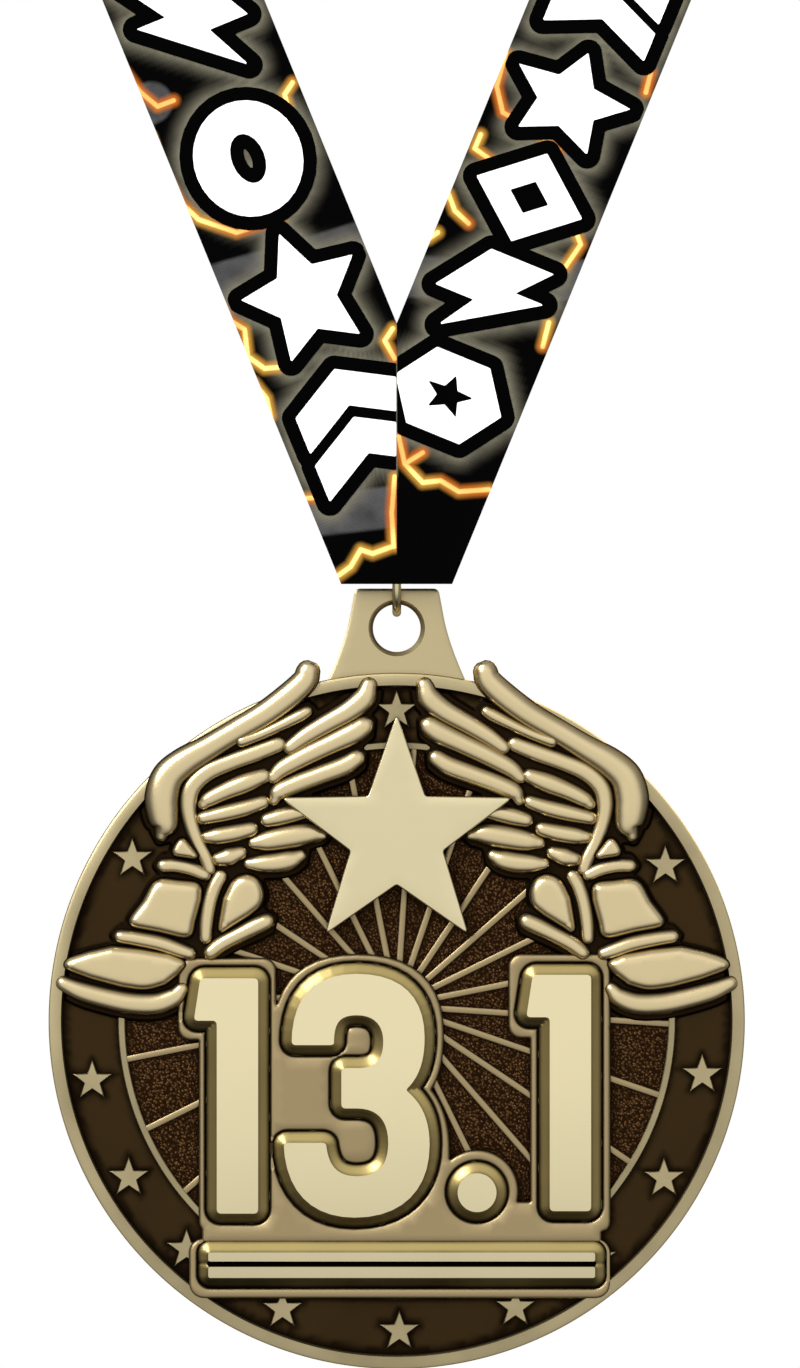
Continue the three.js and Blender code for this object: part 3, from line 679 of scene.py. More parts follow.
def antique_skin():
    """Antique plated metal's skin: fine pits as a height, and how far the dark wash is cleared by rubbing,
    from the shine and a slow unevenness, so it also carries the painted shade and highlights held in the
    shine."""
    tree, given, out = node_group(
        "antique skin", "ShaderNodeTree",
        [(label, "Float") for label in ("Shine", "Fineness", "Unevenness", "Dark", "Bright")],
        [("Height", "Float"), ("RubbedAndShaded", "Float")])
    place = node(tree, "ShaderNodeTexCoord").outputs["Object"]
    fine = node(tree, "ShaderNodeTexNoise", ("Vector", place), ("Scale", given["Fineness"]), ("Detail", 3.0))
    slow = node(tree, "ShaderNodeTexNoise", ("Vector", place), ("Scale", 130.0), ("Detail", 4.0)).outputs[0]
    height = math_node(tree, "ADD", fine.outputs[0], math_node(tree, "MULTIPLY", slow, 0.6))
    cloud = math_node(tree, "MULTIPLY", math_node(tree, "SUBTRACT", slow, 0.5), given["Unevenness"])
    rubbed_and_shaded = ranged(tree, math_node(tree, "ADD", given["Shine"], cloud), given["Dark"], given["Bright"])
    tree.links.new(height, out["Height"])
    tree.links.new(rubbed_and_shaded, out["RubbedAndShaded"])
    return tree


def plain_weave():
    """Crossed threads, as one height."""
    tree, given, out = node_group("plain weave", "ShaderNodeTree", [("Scale", "Float")],
                                  [("Weave", "Float")])
    place = node(tree, "ShaderNodeTexCoord").outputs["Object"]
    warp, weft = (node(tree, "ShaderNodeTexWave", ("Vector", place), ("Scale", given["Scale"]),
                       bands_direction=way).outputs["Fac"] for way in "XZ")
    tree.links.new(math_node(tree, "MULTIPLY", warp, weft), out["Weave"])
    return tree


def ink_grain():
    """The faint unevenness of ink on cloth, as one height."""
    tree, given, out = node_group("ink grain", "ShaderNodeTree", [("Fineness", "Float")],
                                  [("Grain", "Float")])
    place = node(tree, "ShaderNodeTexCoord").outputs["Object"]
    fine = node(tree, "ShaderNodeTexNoise", ("Vector", place), ("Scale", given["Fineness"]), ("Detail", 2.0))
    tree.links.new(fine.outputs[0], out["Grain"])
    return tree


ANTIQUE_SKIN, PLAIN_WEAVE, INK_GRAIN = antique_skin(), plain_weave(), ink_grain()
EDGE_TINT = (0.3, 0.22, 0.14, 1)


def metal(name, low, high, rough, fineness, depth, patina, unevenness=0.35):
    """Antique plated metal: dark wash where the shine attribute is low, bright by rubbing where high; on the
    feathers, numerals and tab the shine also holds painted shade and highlights.
    """
    material = bpy.data.materials.new(name)
    tree, shader = nodes_of(material)
    polish_and_shade = node(tree, "ShaderNodeAttribute", attribute_name="shine").outputs["Fac"]
    skin = node(tree, "ShaderNodeGroup", ("Shine", polish_and_shade), ("Fineness", fineness), ("Unevenness", unevenness),
                ("Dark", patina[0]), ("Bright", patina[1]), node_tree=ANTIQUE_SKIN).outputs
    tree.links.new(mixed(tree, skin["RubbedAndShaded"], low, high), shader.inputs["Base Color"])
    tree.links.new(ranged(tree, skin["RubbedAndShaded"], 0, 1, *rough), shader.inputs["Roughness"])
    shader.inputs["Metallic"].default_value = 1.0
    shader.inputs["Specular Tint"].default_value = EDGE_TINT
    bumped(tree, shader, skin["Height"], 0.35, depth)
    return material


WASH = (0.016, 0.009, 0.004)
matte_gold = metal("matte_gold", (0.03, 0.018, 0.007), (0.54, 0.45, 0.255), (0.5, 0.38), 3000, 0.008,
                   (0.05, 0.75))
plate_gold = metal("plate_gold", (0.05, 0.032, 0.012), (0.37, 0.285, 0.15), (0.5, 0.42), 3000, 0.01,
                   (0.05, 0.9))
polished_gold = metal("polished_gold", WASH, (0.87, 0.765, 0.475), (0.5, 0.24), 2500, 0.004,
                      (0.0, 0.5), 0.03)
feather_gold = metal("feather_gold", WASH, (0.71, 0.58, 0.335), (0.5, 0.26), 2500, 0.006, (0.05, 0.95))
slope_gold = metal("slope_gold", WASH, (0.72, 0.56, 0.22), (0.5, 0.3), 3500, 0.012, (0.0, 1.0))
field_brown = metal("field_brown", (0.009, 0.0052, 0.0024), (0.042, 0.0245, 0.009), (0.5, 0.42), 3000, 0.015,
                    (0.0, 1.1), 0.8)
ring_gold = metal("ring_gold", WASH, (0.72, 0.62, 0.36), (0.4, 0.2), 2500, 0.005, (0.0, 0.5))


def stippled():
    """The ground between the rays: tight punched dots, red-brown with brighter crowns."""
    material = bpy.data.materials.new("stippled_ground")
    tree, shader = nodes_of(material)
    place = node(tree, "ShaderNodeTexCoord").outputs["Object"]
    dots = node(tree, "ShaderNodeTexVoronoi", ("Vector", place), ("Scale", 3600.0))
    speck = node(tree, "ShaderNodeTexNoise", ("Vector", place), ("Scale", 2600.0), ("Detail", 2.0))
    polish_and_shade = node(tree, "ShaderNodeAttribute", attribute_name="shine").outputs["Fac"]
    crown = ranged(tree, dots.outputs["Distance"], 0.65, 0.1)
    # Painted highlight: the dot crowns are coloured brighter, dimmed where the shine attribute is low.
    light = math_node(tree, "MULTIPLY", crown, ranged(tree, speck.outputs[0], 0.3, 0.62, 0.3, 1.0))
    light = math_node(tree, "MULTIPLY", light, ranged(tree, polish_and_shade, 0.0, 1.0, 0.25, 1.0))
    colour = mixed(tree, light, (0.017, 0.0075, 0.003), (0.16, 0.08, 0.029))
    tree.links.new(colour, shader.inputs["Base Color"])
    shader.inputs["Metallic"].default_value = 1.0
    shader.inputs["Specular Tint"].default_value = EDGE_TINT
    shader.inputs["Roughness"].default_value = 0.48
    bumped(tree, shader, crown, 0.8, 0.06)
    return material


stippled_ground = stippled()


# ---------------------------------------------------------------- the casting
def turned(shape, profile, steps):
    """A solid of revolution about y. profile runs from axis to axis as (radius, y, shine) rows."""
    turns = np.arange(steps) * TAU / steps
    first, *middle, final = profile
    rows = len(middle)
    points = [(r * math.cos(t), y, r * math.sin(t)) for r, y, _ in middle for t in turns]
    points += [(0, first[1], 0), (0, final[1], 0)]
    faces = []
    last = (rows - 1) * steps
    for k in range(steps):
        n = (k + 1) % steps
        faces += [(i + k, i + n, i + steps + n, i + steps + k) for i in range(0, last, steps)]
        faces += [(rows * steps, n, k), (rows * steps + 1, last + k, last + n)]
    shape.add(points, faces, [s for _, _, s in middle for _ in turns] + [first[2], final[2]])


def medal_body():
    """The disc with its rim, inner ring and back, and the tab."""
    rim_in = DISC_RADIUS - RIM_WIDTH
    ring_in = RING_RADIUS - RING_WIDTH
    floor = FIELD + 0.04
    profile = [(0, floor, 0), (ring_in, floor, 0), (ring_in + 0.08, RAY_TOP + 0.08, 0.6),
               (ring_in + 0.16, RAY_TOP, 0.47), (RING_RADIUS - 0.16, RAY_TOP, 0.47),
               (RING_RADIUS - 0.08, RAY_TOP + 0.08, 0.4), (RING_RADIUS, floor, 0),
               (rim_in - 0.1, floor, 0), (rim_in, RIM_TOP + 0.12, 0.5), (rim_in + 0.1, RIM_TOP, 0.5),
               (DISC_RADIUS - 0.35, RIM_TOP, 0.58), (DISC_RADIUS - 0.1, RIM_TOP + 0.1, 0.8),
               (DISC_RADIUS, RIM_TOP + 0.35, 0.7), (DISC_RADIUS, BACK - 0.35, 0.7),
               (DISC_RADIUS - 0.1, BACK - 0.1, 1), (DISC_RADIUS - 0.35, BACK, 1),
               (DISC_RADIUS - 1.5, BACK, 0.9), (DISC_RADIUS - 1.7, BACK - 0.12, 0.55),
               (DISC_RADIUS - 2.6, BACK - 0.12, 0.55), (DISC_RADIUS - 2.8, BACK, 0.8), (0, BACK, 0.8)]
    shape = Shape()
    turned(shape, profile[::-1], 288)
    tab_and_hole(shape)
    return shape.piece("medal_body", matte_gold)


TAB_BEVEL, TAB_EDGE = 0.1, 0.3
TAB_SHADED, TAB_LIT = 35.0, 36.2


def tab_and_hole(shape):
    """The tab, eased at its edge and chamfered at its hole, with painted shade where it meets the rim and a
    painted highlight on the lower right of the hole's chamfer.
    """
    tab = bezier_loop((-7.2, 33.6), (-5.9, 36.4, -5.0, 38.8, -4.6, 41.3), (-4.3, 42.9),
                      (-4.25, 43.3, -4.0, TAB_TOP, -3.6, TAB_TOP), (3.6, TAB_TOP),
                      (4.0, TAB_TOP, 4.25, 43.3, 4.3, 42.9), (4.6, 41.3), (5.0, 38.8, 5.9, 36.4, 7.2, 33.6))
    hole = circle_loop(0, HOLE_Z, HOLE_RADIUS, 72)[::-1]
    rings = [circle_loop(0, HOLE_Z, HOLE_RADIUS + k, 72)
             for k in (0.2, HOLE_CHAMFER, HOLE_CHAMFER + 0.06)]
    loops = [even(tab, 0.35), hole]
    inner = grown_inside(loops[:1], (0.12, TAB_EDGE))
    flat, faces = triangulated(loops, np.vstack([*inner, *rings, hex_points(loops, 0.5, 0.8)]))
    out = np.hypot(flat[:, 0], flat[:, 1] - HOLE_Z) - HOLE_RADIUS
    edge = edge_distance(flat, [tab])
    height = np.minimum(TAB_HALF_THICK - np.clip(HOLE_CHAMFER - out, 0, HOLE_CHAMFER),
                        TAB_HALF_THICK - TAB_BEVEL * (1 - np.clip(edge / TAB_EDGE, 0, 1)) ** 2)
    # Painted highlight on the lower right of the hole's chamfer, and painted shade on the tab next to the
    # rim.
    lit = np.clip((flat[:, 0] - flat[:, 1] + HOLE_Z) / 4.0, 0, 1)
    shaded = 0.6 + 0.4 * smooth(np.hypot(flat[:, 0], flat[:, 1]), TAB_SHADED, TAB_LIT)
    polish_and_shade = np.where(out < HOLE_CHAMFER - 0.01, 0.3 + 0.5 * lit, shaded)
    front = np.stack([flat[:, 0], -height, flat[:, 1]], axis=1)
    shape.add(np.vstack([front, front * (1, -1, 1)]), closed(faces, len(flat)), np.hstack([polish_and_shade, polish_and_shade]))


def field():
    """The sunk ground, darker close to whatever stands on it."""
    outer = circle_loop(0, 0, DISC_RADIUS - RIM_WIDTH - 0.05, 240)
    division = circle_loop(0, 0, RING_RADIUS - RING_WIDTH / 2, 200)
    flat, faces = triangulated([outer], hex_points([outer], 0.65, 0.4), [division])
    standing = [star_loop(x, z, SMALL_STAR_RADIUS, STAR_WAIST) for x, z in SMALL_STARS]
    standing += [*PLATES, BAR_PLATE, STAR, *WING_LOOPS, *[mirrored(loop) for loop in WING_LOOPS]]
    near = np.minimum(distance(flat, standing), edge_distance(flat, [outer, division]) - 0.3)
    near = np.minimum(near, edge_distance(flat, ray_loops()) + 0.2)
    radius = np.hypot(*flat[faces].mean(axis=1).T)
    inside = radius < RING_RADIUS - RING_WIDTH / 2
    points = np.stack([flat[:, 0], np.full(len(flat), FIELD), flat[:, 1]], axis=1)
    shape = Shape()
    shape.add(points, faces, 0.15 + 0.85 * smooth(near, 0.0, 0.8))
    shape.finish = [int(stipple) for stipple in inside]
    return shape.piece("sunk_field", field_brown, stippled_ground)


def rays():
    """The burst of thin rays, a hair lower than the ring they meet."""
    shape = Shape()
    for loop in ray_loops():
        raised(shape, [even(loop, 2.0)], softened(FIELD - RAY_TOP - 0.05, 0.12), FIELD, (0.05, 0.12), 3.0,
               shine=lambda d: 0.15 + 0.85 * np.clip(d / 0.05, 0, 1), crisp=True)
    return shape.piece("rays", plate_gold)


def centre_star():
    """The large flat star, its points and waists a little blunt."""
    shape = Shape()
    points = star_loop(0, STAR_Z, STAR_RADIUS, STAR_WAIST)
    ahead, behind = np.roll(points, -1, axis=0) - points, np.roll(points, 1, axis=0) - points
    blunt = np.where(np.arange(10) % 2, 0.02, 0.07)[:, None]
    loop = np.stack([points + behind * blunt, points + (ahead + behind) * blunt * 0.3,
                     points + ahead * blunt], axis=1).reshape(-1, 2)
    raised(shape, [even(loop, 0.8)], softened(FIELD - STAR_TOP, 0.16), FIELD, (0.05, 0.1, 0.16), 1.2,
           shine=lambda d: 0.2 + 0.18 * np.clip(d / 0.05, 0, 1), crisp=True)
    return shape.piece("centre_star", polished_gold)


DIGIT_CREST, DIGIT_SPAN = 4.7, 24.0
SLOPE_DROP = 0.75
SLOPE_FOOT = 0.32
PROBE = 0.05


def sloped_numeral(shape, outlines, seam=()):
    """Flat polished faces whose sides slope out together to one foot, with a dark seam between. The faces
    get painted shade towards the bottom, and the slopes get painted light where they face up, a little where
    they face right, and painted shade where they face down.
    """
    crisp = [even(outline, 0.4) for outline in outlines]
    foot = grown(outlines, SLOPE, 0.12)
    rows = [row for reach in (0.35, 0.7) for row in grown(outlines, reach, 0.12)]
    fill = hex_points(crisp, 1.2, 0.3)
    flat, faces = triangulated(foot, np.vstack([*rows, fill, *([seam] if len(seam) else [])]), crisp)
    out = np.maximum(distance(flat, crisp), 0)
    fall = SLOPE_DROP * out / SLOPE
    aside, upward = ((distance(flat + step, crisp) - distance(flat - step, crisp)) / (2 * PROBE)
                     for step in ((PROBE, 0), (0, PROBE)))
    # Painted light: slopes facing up, and a little those facing right, are lighter; those facing down are
    # darker.
    facing = 0.62 + 0.36 * upward + 0.1 * aside
    # Painted shade: the flat faces darken towards the bottom.
    face = 0.52 - 0.16 * (DIGIT_CREST - flat[:, 1]) / DIGIT_SPAN
    polish_and_shade = np.where(out <= 0.02, face, facing * (1 - 0.8 * smooth(out, SLOPE - SLOPE_FOOT, SLOPE)))
    if len(seam):
        in_seam = (edge_distance(flat, [seam]) < 0.02) & (out > 0.1)
        fall, polish_and_shade = np.where(in_seam, 0.6, fall), np.where(in_seam, -0.6, polish_and_shade)
    points = np.stack([flat[:, 0], DIGIT_TOP + fall, flat[:, 1]], axis=1)
    top = distance(flat[faces].mean(axis=1), crisp) < 0
    base = points * (1, 0, 1) + (0, FIELD, 0)
    start = len(shape.finish)
    shape.add(np.vstack([points, base]), closed(faces, len(flat)), np.hstack([polish_and_shade, polish_and_shade * 0]), 1)
    shape.finish[start:start + len(faces)] = [0 if is_top else 1 for is_top in top]


def digits():
    """The numerals and the twin bars, and the plate that frames them."""
    shape, plate_shape = Shape(), Shape()
    for outline in DIGITS:
        sloped_numeral(shape, [outline])
    reach = np.arange(-19.0, 20.01, 0.3)
    sloped_numeral(shape, BARS, np.stack([reach, np.full_like(reach, BAR_SEAM_Z)], axis=1))
    plate = grown(PLATES, 0.0, 0.12, DIGITS, SLOPE + 0.1)
    frame_loops = grown([BAR_PLATE], 0.0, 0.12, [BOTH_BARS], SLOPE + 0.05)
    for loops in (plate, frame_loops):
        raised(plate_shape, loops, softened(FIELD - PLATE_TOP, 0.3), FIELD, (0.12, 0.28), 1.0,
               shine=lambda d: 0.15 + 0.85 * smooth(d, 0.0, 0.16) - 0.12 * smooth(d, 0.4, 0.9))
    groove = grown([*PLATES, BAR_PLATE], -0.3, 0.3)
    raised(plate_shape, groove, lambda d: 0.35 + 0 * d, FIELD, (0.3,), 2.0, shine=lambda d: 0 * d)
    return (shape.piece("numerals", polished_gold, slope_gold, crease=25),
            plate_shape.piece("numeral_plate", plate_gold))


def wing(side):
    """A winged shoe: crowned feathers and bands, puffed panels, and the dark ground under them."""
    flip = mirrored if side > 0 else (lambda loop: loop)
    ground, feathers, panels = Shape(), Shape(), Shape()
    silhouette = grown([flip(loop) for loop in WING_LOOPS], WING_GROUND_MARGIN, 0.2,
                       within=DISC_RADIUS - RIM_WIDTH - 0.1)
    silhouette = [loop for loop in silhouette if turning(loop) > 0]
    raised(ground, silhouette, softened(FIELD - FEATHER_GROUND, 0.3), FIELD, (0.3,), 1.2,
           shine=lambda d: 0.1 * (1 - smooth(d, 0.0, 0.3)))
    for name, line in FEATHERS.items():
        rows = [(abs(x) * side, z, w) for x, z, w in line]
        peak = FEATHER_PEAKS.get(name, FEATHER_PEAK)
        crowned_feather(feathers, rows, FIELD + 0.4, FEATHER_GROUND + 0.2, peak)
    for name, outline in PANELS.items():
        loop = grown([flip(eased(outline, PANEL_CORNER))], PANEL_GROWTH, 0.12)
        raised(panels, loop, dome(PANEL_RISE, 0.6 if name == "tongue" else 1.05), FEATHER_GROUND,
               (0.1, 0.22, 0.38, 0.6, 0.9), 0.5, shine=lambda d: smooth(d, 0.03, 0.42))
    label = "right" if side > 0 else "left"
    return (ground.piece(f"wing_ground_{label}", feather_gold),
            feathers.piece(f"feathers_{label}", feather_gold, crease=60),
            panels.piece(f"shoe_{label}", feather_gold, crease=60))


# ---------------------------------------------------------------- repeated pieces, by node trees
def tree_piece(name, seeds, edges, inputs, build, material):
    """Seed points run through a node tree, whose inputs are (name, kind, value), then made plain."""
    mesh = bpy.data.meshes.new(name)
    mesh.from_pydata([tuple(np.array(seed) * MM + CENTRE) for seed in seeds], edges, [])
    thing = bpy.data.objects.new(name, mesh)
    bpy.context.scene.collection.objects.link(thing)
    shape_in = ("Geometry", "Geometry")
    tree, given, out = node_group(name, "GeometryNodeTree",
                                  [shape_in, *[(label, kind) for label, kind, _ in inputs]], [shape_in])
    real = node(tree, "GeometryNodeRealizeInstances", (0, build(tree, given)))
    dress = node(tree, "GeometryNodeSetMaterial", ("Geometry", real.outputs[0]), ("Material", material))
    tree.links.new(dress.outputs[0], out[0])
    modifier = thing.modifiers.new("build", "NODES")
    modifier.node_group = tree
    keys = {item.name: item.identifier for item in tree.interface.items_tree if item.in_out == "INPUT"}
    for label, _, value in inputs:
        modifier[keys[label]] = value
    ready = thing.evaluated_get(bpy.context.evaluated_depsgraph_get())
    mesh = bpy.data.meshes.new_from_object(ready)
    thing.modifiers.remove(modifier)
    thing.data = mesh
    mesh.name = name
    return thing


def small_stars():
    """The ring of small stars: one star, put at each seed point by a node tree."""
    pattern = Shape()
    loop = star_loop(0, 0, SMALL_STAR_RADIUS, STAR_WAIST)
    raised(pattern, [even(loop, 0.5)], softened(FIELD - SMALL_STAR_TOP, 0.1), FIELD, (0.1,), 0.6,
           shine=lambda d: 0.15 + 0.4 * np.clip(d / 0.1, 0, 1))
    one = pattern.piece("star_pattern", matte_gold)
    one.data.transform(one.matrix_world.Translation(-Vector(CENTRE)))

    def build(tree, given):
        source = node(tree, "GeometryNodeObjectInfo", ("Object", given["Star"]))
        return node(tree, "GeometryNodeInstanceOnPoints", ("Points", given["Geometry"]),
                    ("Instance", source.outputs["Geometry"])).outputs[0]

    seeds = [(x, 0, z) for x, z in SMALL_STARS]
    thing = tree_piece("small_stars", seeds, [], [("Star", "Object", one)], build, matte_gold)
    bpy.data.objects.remove(one)
    return thing


def stitches(name, rows, length, count, material):
    """Short thread loops along straight rows: one stitch, spaced and turned by a node tree."""
    def build(tree, given):
        curve = node(tree, "GeometryNodeMeshToCurve", (0, given["Geometry"]))
        spaced = node(tree, "GeometryNodeResampleCurve", ("Curve", curve.outputs[0]),
                      ("Count", given["Count"]))
        bead = node(tree, "GeometryNodeMeshUVSphere", ("Segments", 8), ("Rings", 6),
                    ("Radius", given["Radius"]))
        size = node(tree, "ShaderNodeCombineXYZ", (0, 1.0), (1, 1.0), (2, given["Length"]))
        stitch = node(tree, "GeometryNodeTransform", ("Geometry", bead.outputs["Mesh"]),
                      ("Scale", size.outputs[0]))
        turn = node(tree, "FunctionNodeAlignRotationToVector",
                    ("Vector", node(tree, "GeometryNodeInputTangent").outputs[0]))
        return node(tree, "GeometryNodeInstanceOnPoints", ("Points", spaced.outputs[0]),
                    ("Instance", stitch.outputs[0]), ("Rotation", turn.outputs[0])).outputs[0]

    inputs = [("Count", "Int", count), ("Length", "Float", length), ("Radius", "Float", THREAD_RADIUS * MM)]
    edges = [(k, k + 1) for k in range(0, 2 * len(rows), 2)]
    return tree_piece(name, [end for row in rows for end in row], edges, inputs, build, material)


# ---------------------------------------------------------------- the ribbon's route
# Places on one half past the straight side, with the way the print faces there.
ROUTE = [((28.4, RIBBON_FRONT, 119.5), (0, -1, 0)), ((42.5, -1.5, 154), (0.08, -0.98, 0.16)),
         ((56, 7.5, 189), (0.25, -0.85, 0.45)), ((68.5, 26, 221), (0.45, -0.6, 0.66)),
         ((77, 54, 244), (0.62, -0.3, 0.73)), ((79.5, 86, 258), (0.74, 0.05, 0.67)),
         ((71, 116, 268), (0.62, 0.45, 0.64)), ((50, 139, 273), (0.4, 0.72, 0.57)),
         ((25, 152, 275), (0.18, 0.84, 0.5)), ((0, 155.5, 275.5), (0, 0.87, 0.5)),
         ((-25, 152, 275), (-0.18, 0.84, 0.5))]
ALONG = np.array([math.sin(RIBBON_LEAN), 0, math.cos(RIBBON_LEAN)])
ACROSS = np.array([math.cos(RIBBON_LEAN), 0, -math.sin(RIBBON_LEAN)])
START = np.array([0, RIBBON_FRONT, MITRE_Z])


def centripetal(rows, per_span):
    """A smooth line through points that are unevenly spaced, and its direction."""
    out, ahead = [], []
    for i in range(1, len(rows) - 2):
        p0, p1, p2, p3 = rows[i - 1:i + 3]
        d0, d1, d2 = (math.sqrt(np.linalg.norm(b - a)) for a, b in ((p0, p1), (p1, p2), (p2, p3)))
        m1 = ((p1 - p0) / d0 - (p2 - p0) / (d0 + d1) + (p2 - p1) / d1) * d1
        m2 = ((p2 - p1) / d1 - (p3 - p1) / (d1 + d2) + (p3 - p2) / d2) * d1
        for step in range(per_span + (i == len(rows) - 3)):
            t = step / per_span
            c2, c3 = -3 * p1 + 3 * p2 - 2 * m1 - m2, 2 * p1 - 2 * p2 + m1 + m2
            out.append(p1 + m1 * t + c2 * t * t + c3 * t ** 3)
            ahead.append(m1 + 2 * c2 * t + 3 * c3 * t * t)
    return np.array(out), np.array(ahead)


def ribbon_route():
    """Distance along one half from the mitre, with the centre, sideways and facing directions."""
    lead = START + ALONG * (STRAIGHT - 17.5)
    places = np.array([lead, *[at for at, _ in ROUTE]])
    faces = np.array([(0, -1, 0), *[facing for _, facing in ROUTE]], dtype=float)
    per_span = 24
    centre, ahead = centripetal(places, per_span)
    facing = spline(faces, per_span)[per_span:-per_span]
    ahead /= np.linalg.norm(ahead, axis=1)[:, None]
    side = np.cross(ahead, facing)
    side /= np.linalg.norm(side, axis=1)[:, None]
    facing = np.cross(side, ahead)
    run = np.hstack([0, np.cumsum(np.linalg.norm(np.diff(centre, axis=0), axis=1))]) + STRAIGHT
    early = np.array([-30.0, STRAIGHT - 0.01])
    centre = np.vstack([START + early[:, None] * ALONG, centre])
    side = np.vstack([ACROSS, ACROSS, side])
    facing = np.vstack([[0, -1, 0], [0, -1, 0], facing])
    centre[-1, 0] = side[-1, 0] = facing[-1, 0] = 0
    return np.hstack([early, run]), centre, side, facing


RUN, MIDDLES, SIDES, FACINGS = ribbon_route()
HALF_LENGTH = RUN[-1]


def on_ribbon(u, s, lift, hand):
    """Where a point u across and s along one half of the ribbon lies, lifted off its middle."""
    def at(table):
        return np.stack([np.interp(s, RUN, table[:, k]) for k in range(3)], axis=-1)
    place = at(MIDDLES) + at(SIDES) * np.asarray(u)[..., None] + at(FACINGS) * np.asarray(lift)[..., None]
    return place * (hand, 1, 1)


def foot_of(u):
    """How far along a line at u the cloth starts: at the mitre or at the straight foot."""
    mitre = -u / math.tan(RIBBON_LEAN)
    foot = (RIBBON_FOOT - MITRE_Z + u * math.sin(RIBBON_LEAN)) / math.cos(RIBBON_LEAN)
    return np.maximum(mitre, foot)


# ---------------------------------------------------------------- the ribbon's print
def star_mark():
    return [star_loop(0, -0.08, 1.22, 0.5)]


def nut_mark():
    turns = np.arange(6) * TAU / 6
    return [np.stack([np.cos(turns), np.sin(turns)], axis=1) * 1.1, star_loop(0, 0, 0.5, 0.45)]


def ring_mark():
    return [circle_loop(0, 0, 1.05, 32), circle_loop(0, 0, 0.4, 20) * (0.8, 1.15)]


def chevron_mark():
    return [loop_of([(-1.05, base - 0.55), (0, base), (1.05, base - 0.55), (1.05, base + 0.15),
                     (0, base + 0.7), (-1.05, base + 0.15)]) for base in (-0.5, 0.42)]


def bolt_mark():
    return [loop_of([(-0.3, 1.05), (1.0, 1.05), (0.45, 0.3), (1.05, 0.3), (-0.7, -1.05), (-0.25, -0.2),
                     (-1.05, -0.2)])]


def lozenge_mark():
    ring = loop_of([(0, -1.1), (1.1, 0), (0, 1.1), (-1.1, 0)])
    return [ring, ring * 0.36]


def check_mark():
    cell = 0.7
    return [loop_of([(x - 0.5, z - 0.5), (x + 0.5, z - 0.5), (x + 0.5, z + 0.5), (x - 0.5, z + 0.5)]) * cell
            for x, z in ((-1, -1), (1, -1), (0, 0), (-1, 1), (1, 1))]


MARKS = {-1: [chevron_mark, star_mark, ring_mark, bolt_mark, nut_mark, lozenge_mark, check_mark],
         1: [nut_mark, bolt_mark, lozenge_mark, star_mark, chevron_mark, ring_mark, check_mark]}
# Sizes of the print: the marks are drawn about a unit tall and wide.
MARK_WIDTH = 5.2
OUTLINE = 1.35
HALO_REACH = 1.9
HALO_FALL = 2.2
MARK_NEIGHBOURHOOD = 11
PRINT_HALF_WIDTH = 7.3
PRINTS = {-1: {"first": 10.2, "pitch": 14.5, "half": 5.6}, 1: {"first": 13.6, "pitch": 10.7, "half": 4.3}}


def mark_plan():
    """Each printed mark: its half of the ribbon, its place along it and its outlines."""
    plan = []
    for hand, spacing in PRINTS.items():
        count = int((HALF_LENGTH - spacing["first"]) / spacing["pitch"]) + 1
        for k in range(count):
            loops = [loop * (MARK_WIDTH, spacing["half"]) for loop in MARKS[hand][k % len(MARKS[hand])]()]
            plan.append((hand, spacing["first"] + k * spacing["pitch"], loops))
    return plan


PLAN = mark_plan()


def halo_at(u, s, hand):
    """How strongly the glow round the marks falls on each place of one half of the cloth."""
    glow = np.zeros(len(u))
    for mark_hand, middle, loops in PLAN:
        near = np.abs(s - middle) < MARK_NEIGHBOURHOOD
        if mark_hand != hand or not near.any():
            continue
        places = np.stack([u[near], s[near] - middle], axis=1)
        out = np.where(region(places, loops), 0, edge_distance(places, loops))
        fresh = np.clip(1 - (out - OUTLINE) / HALO_REACH, 0, 1) ** HALO_FALL
        glow[near] = np.maximum(glow[near], fresh)
    return glow


INNER_COLUMNS, OUTER_COLUMNS = 24, 14
LEAD, LEAD_ROWS = 20.0, 30   # the stretch that meets the mitre
PRINT_ROW, LOOP_ROWS = 0.6, 280
SELVEDGE = 0.06


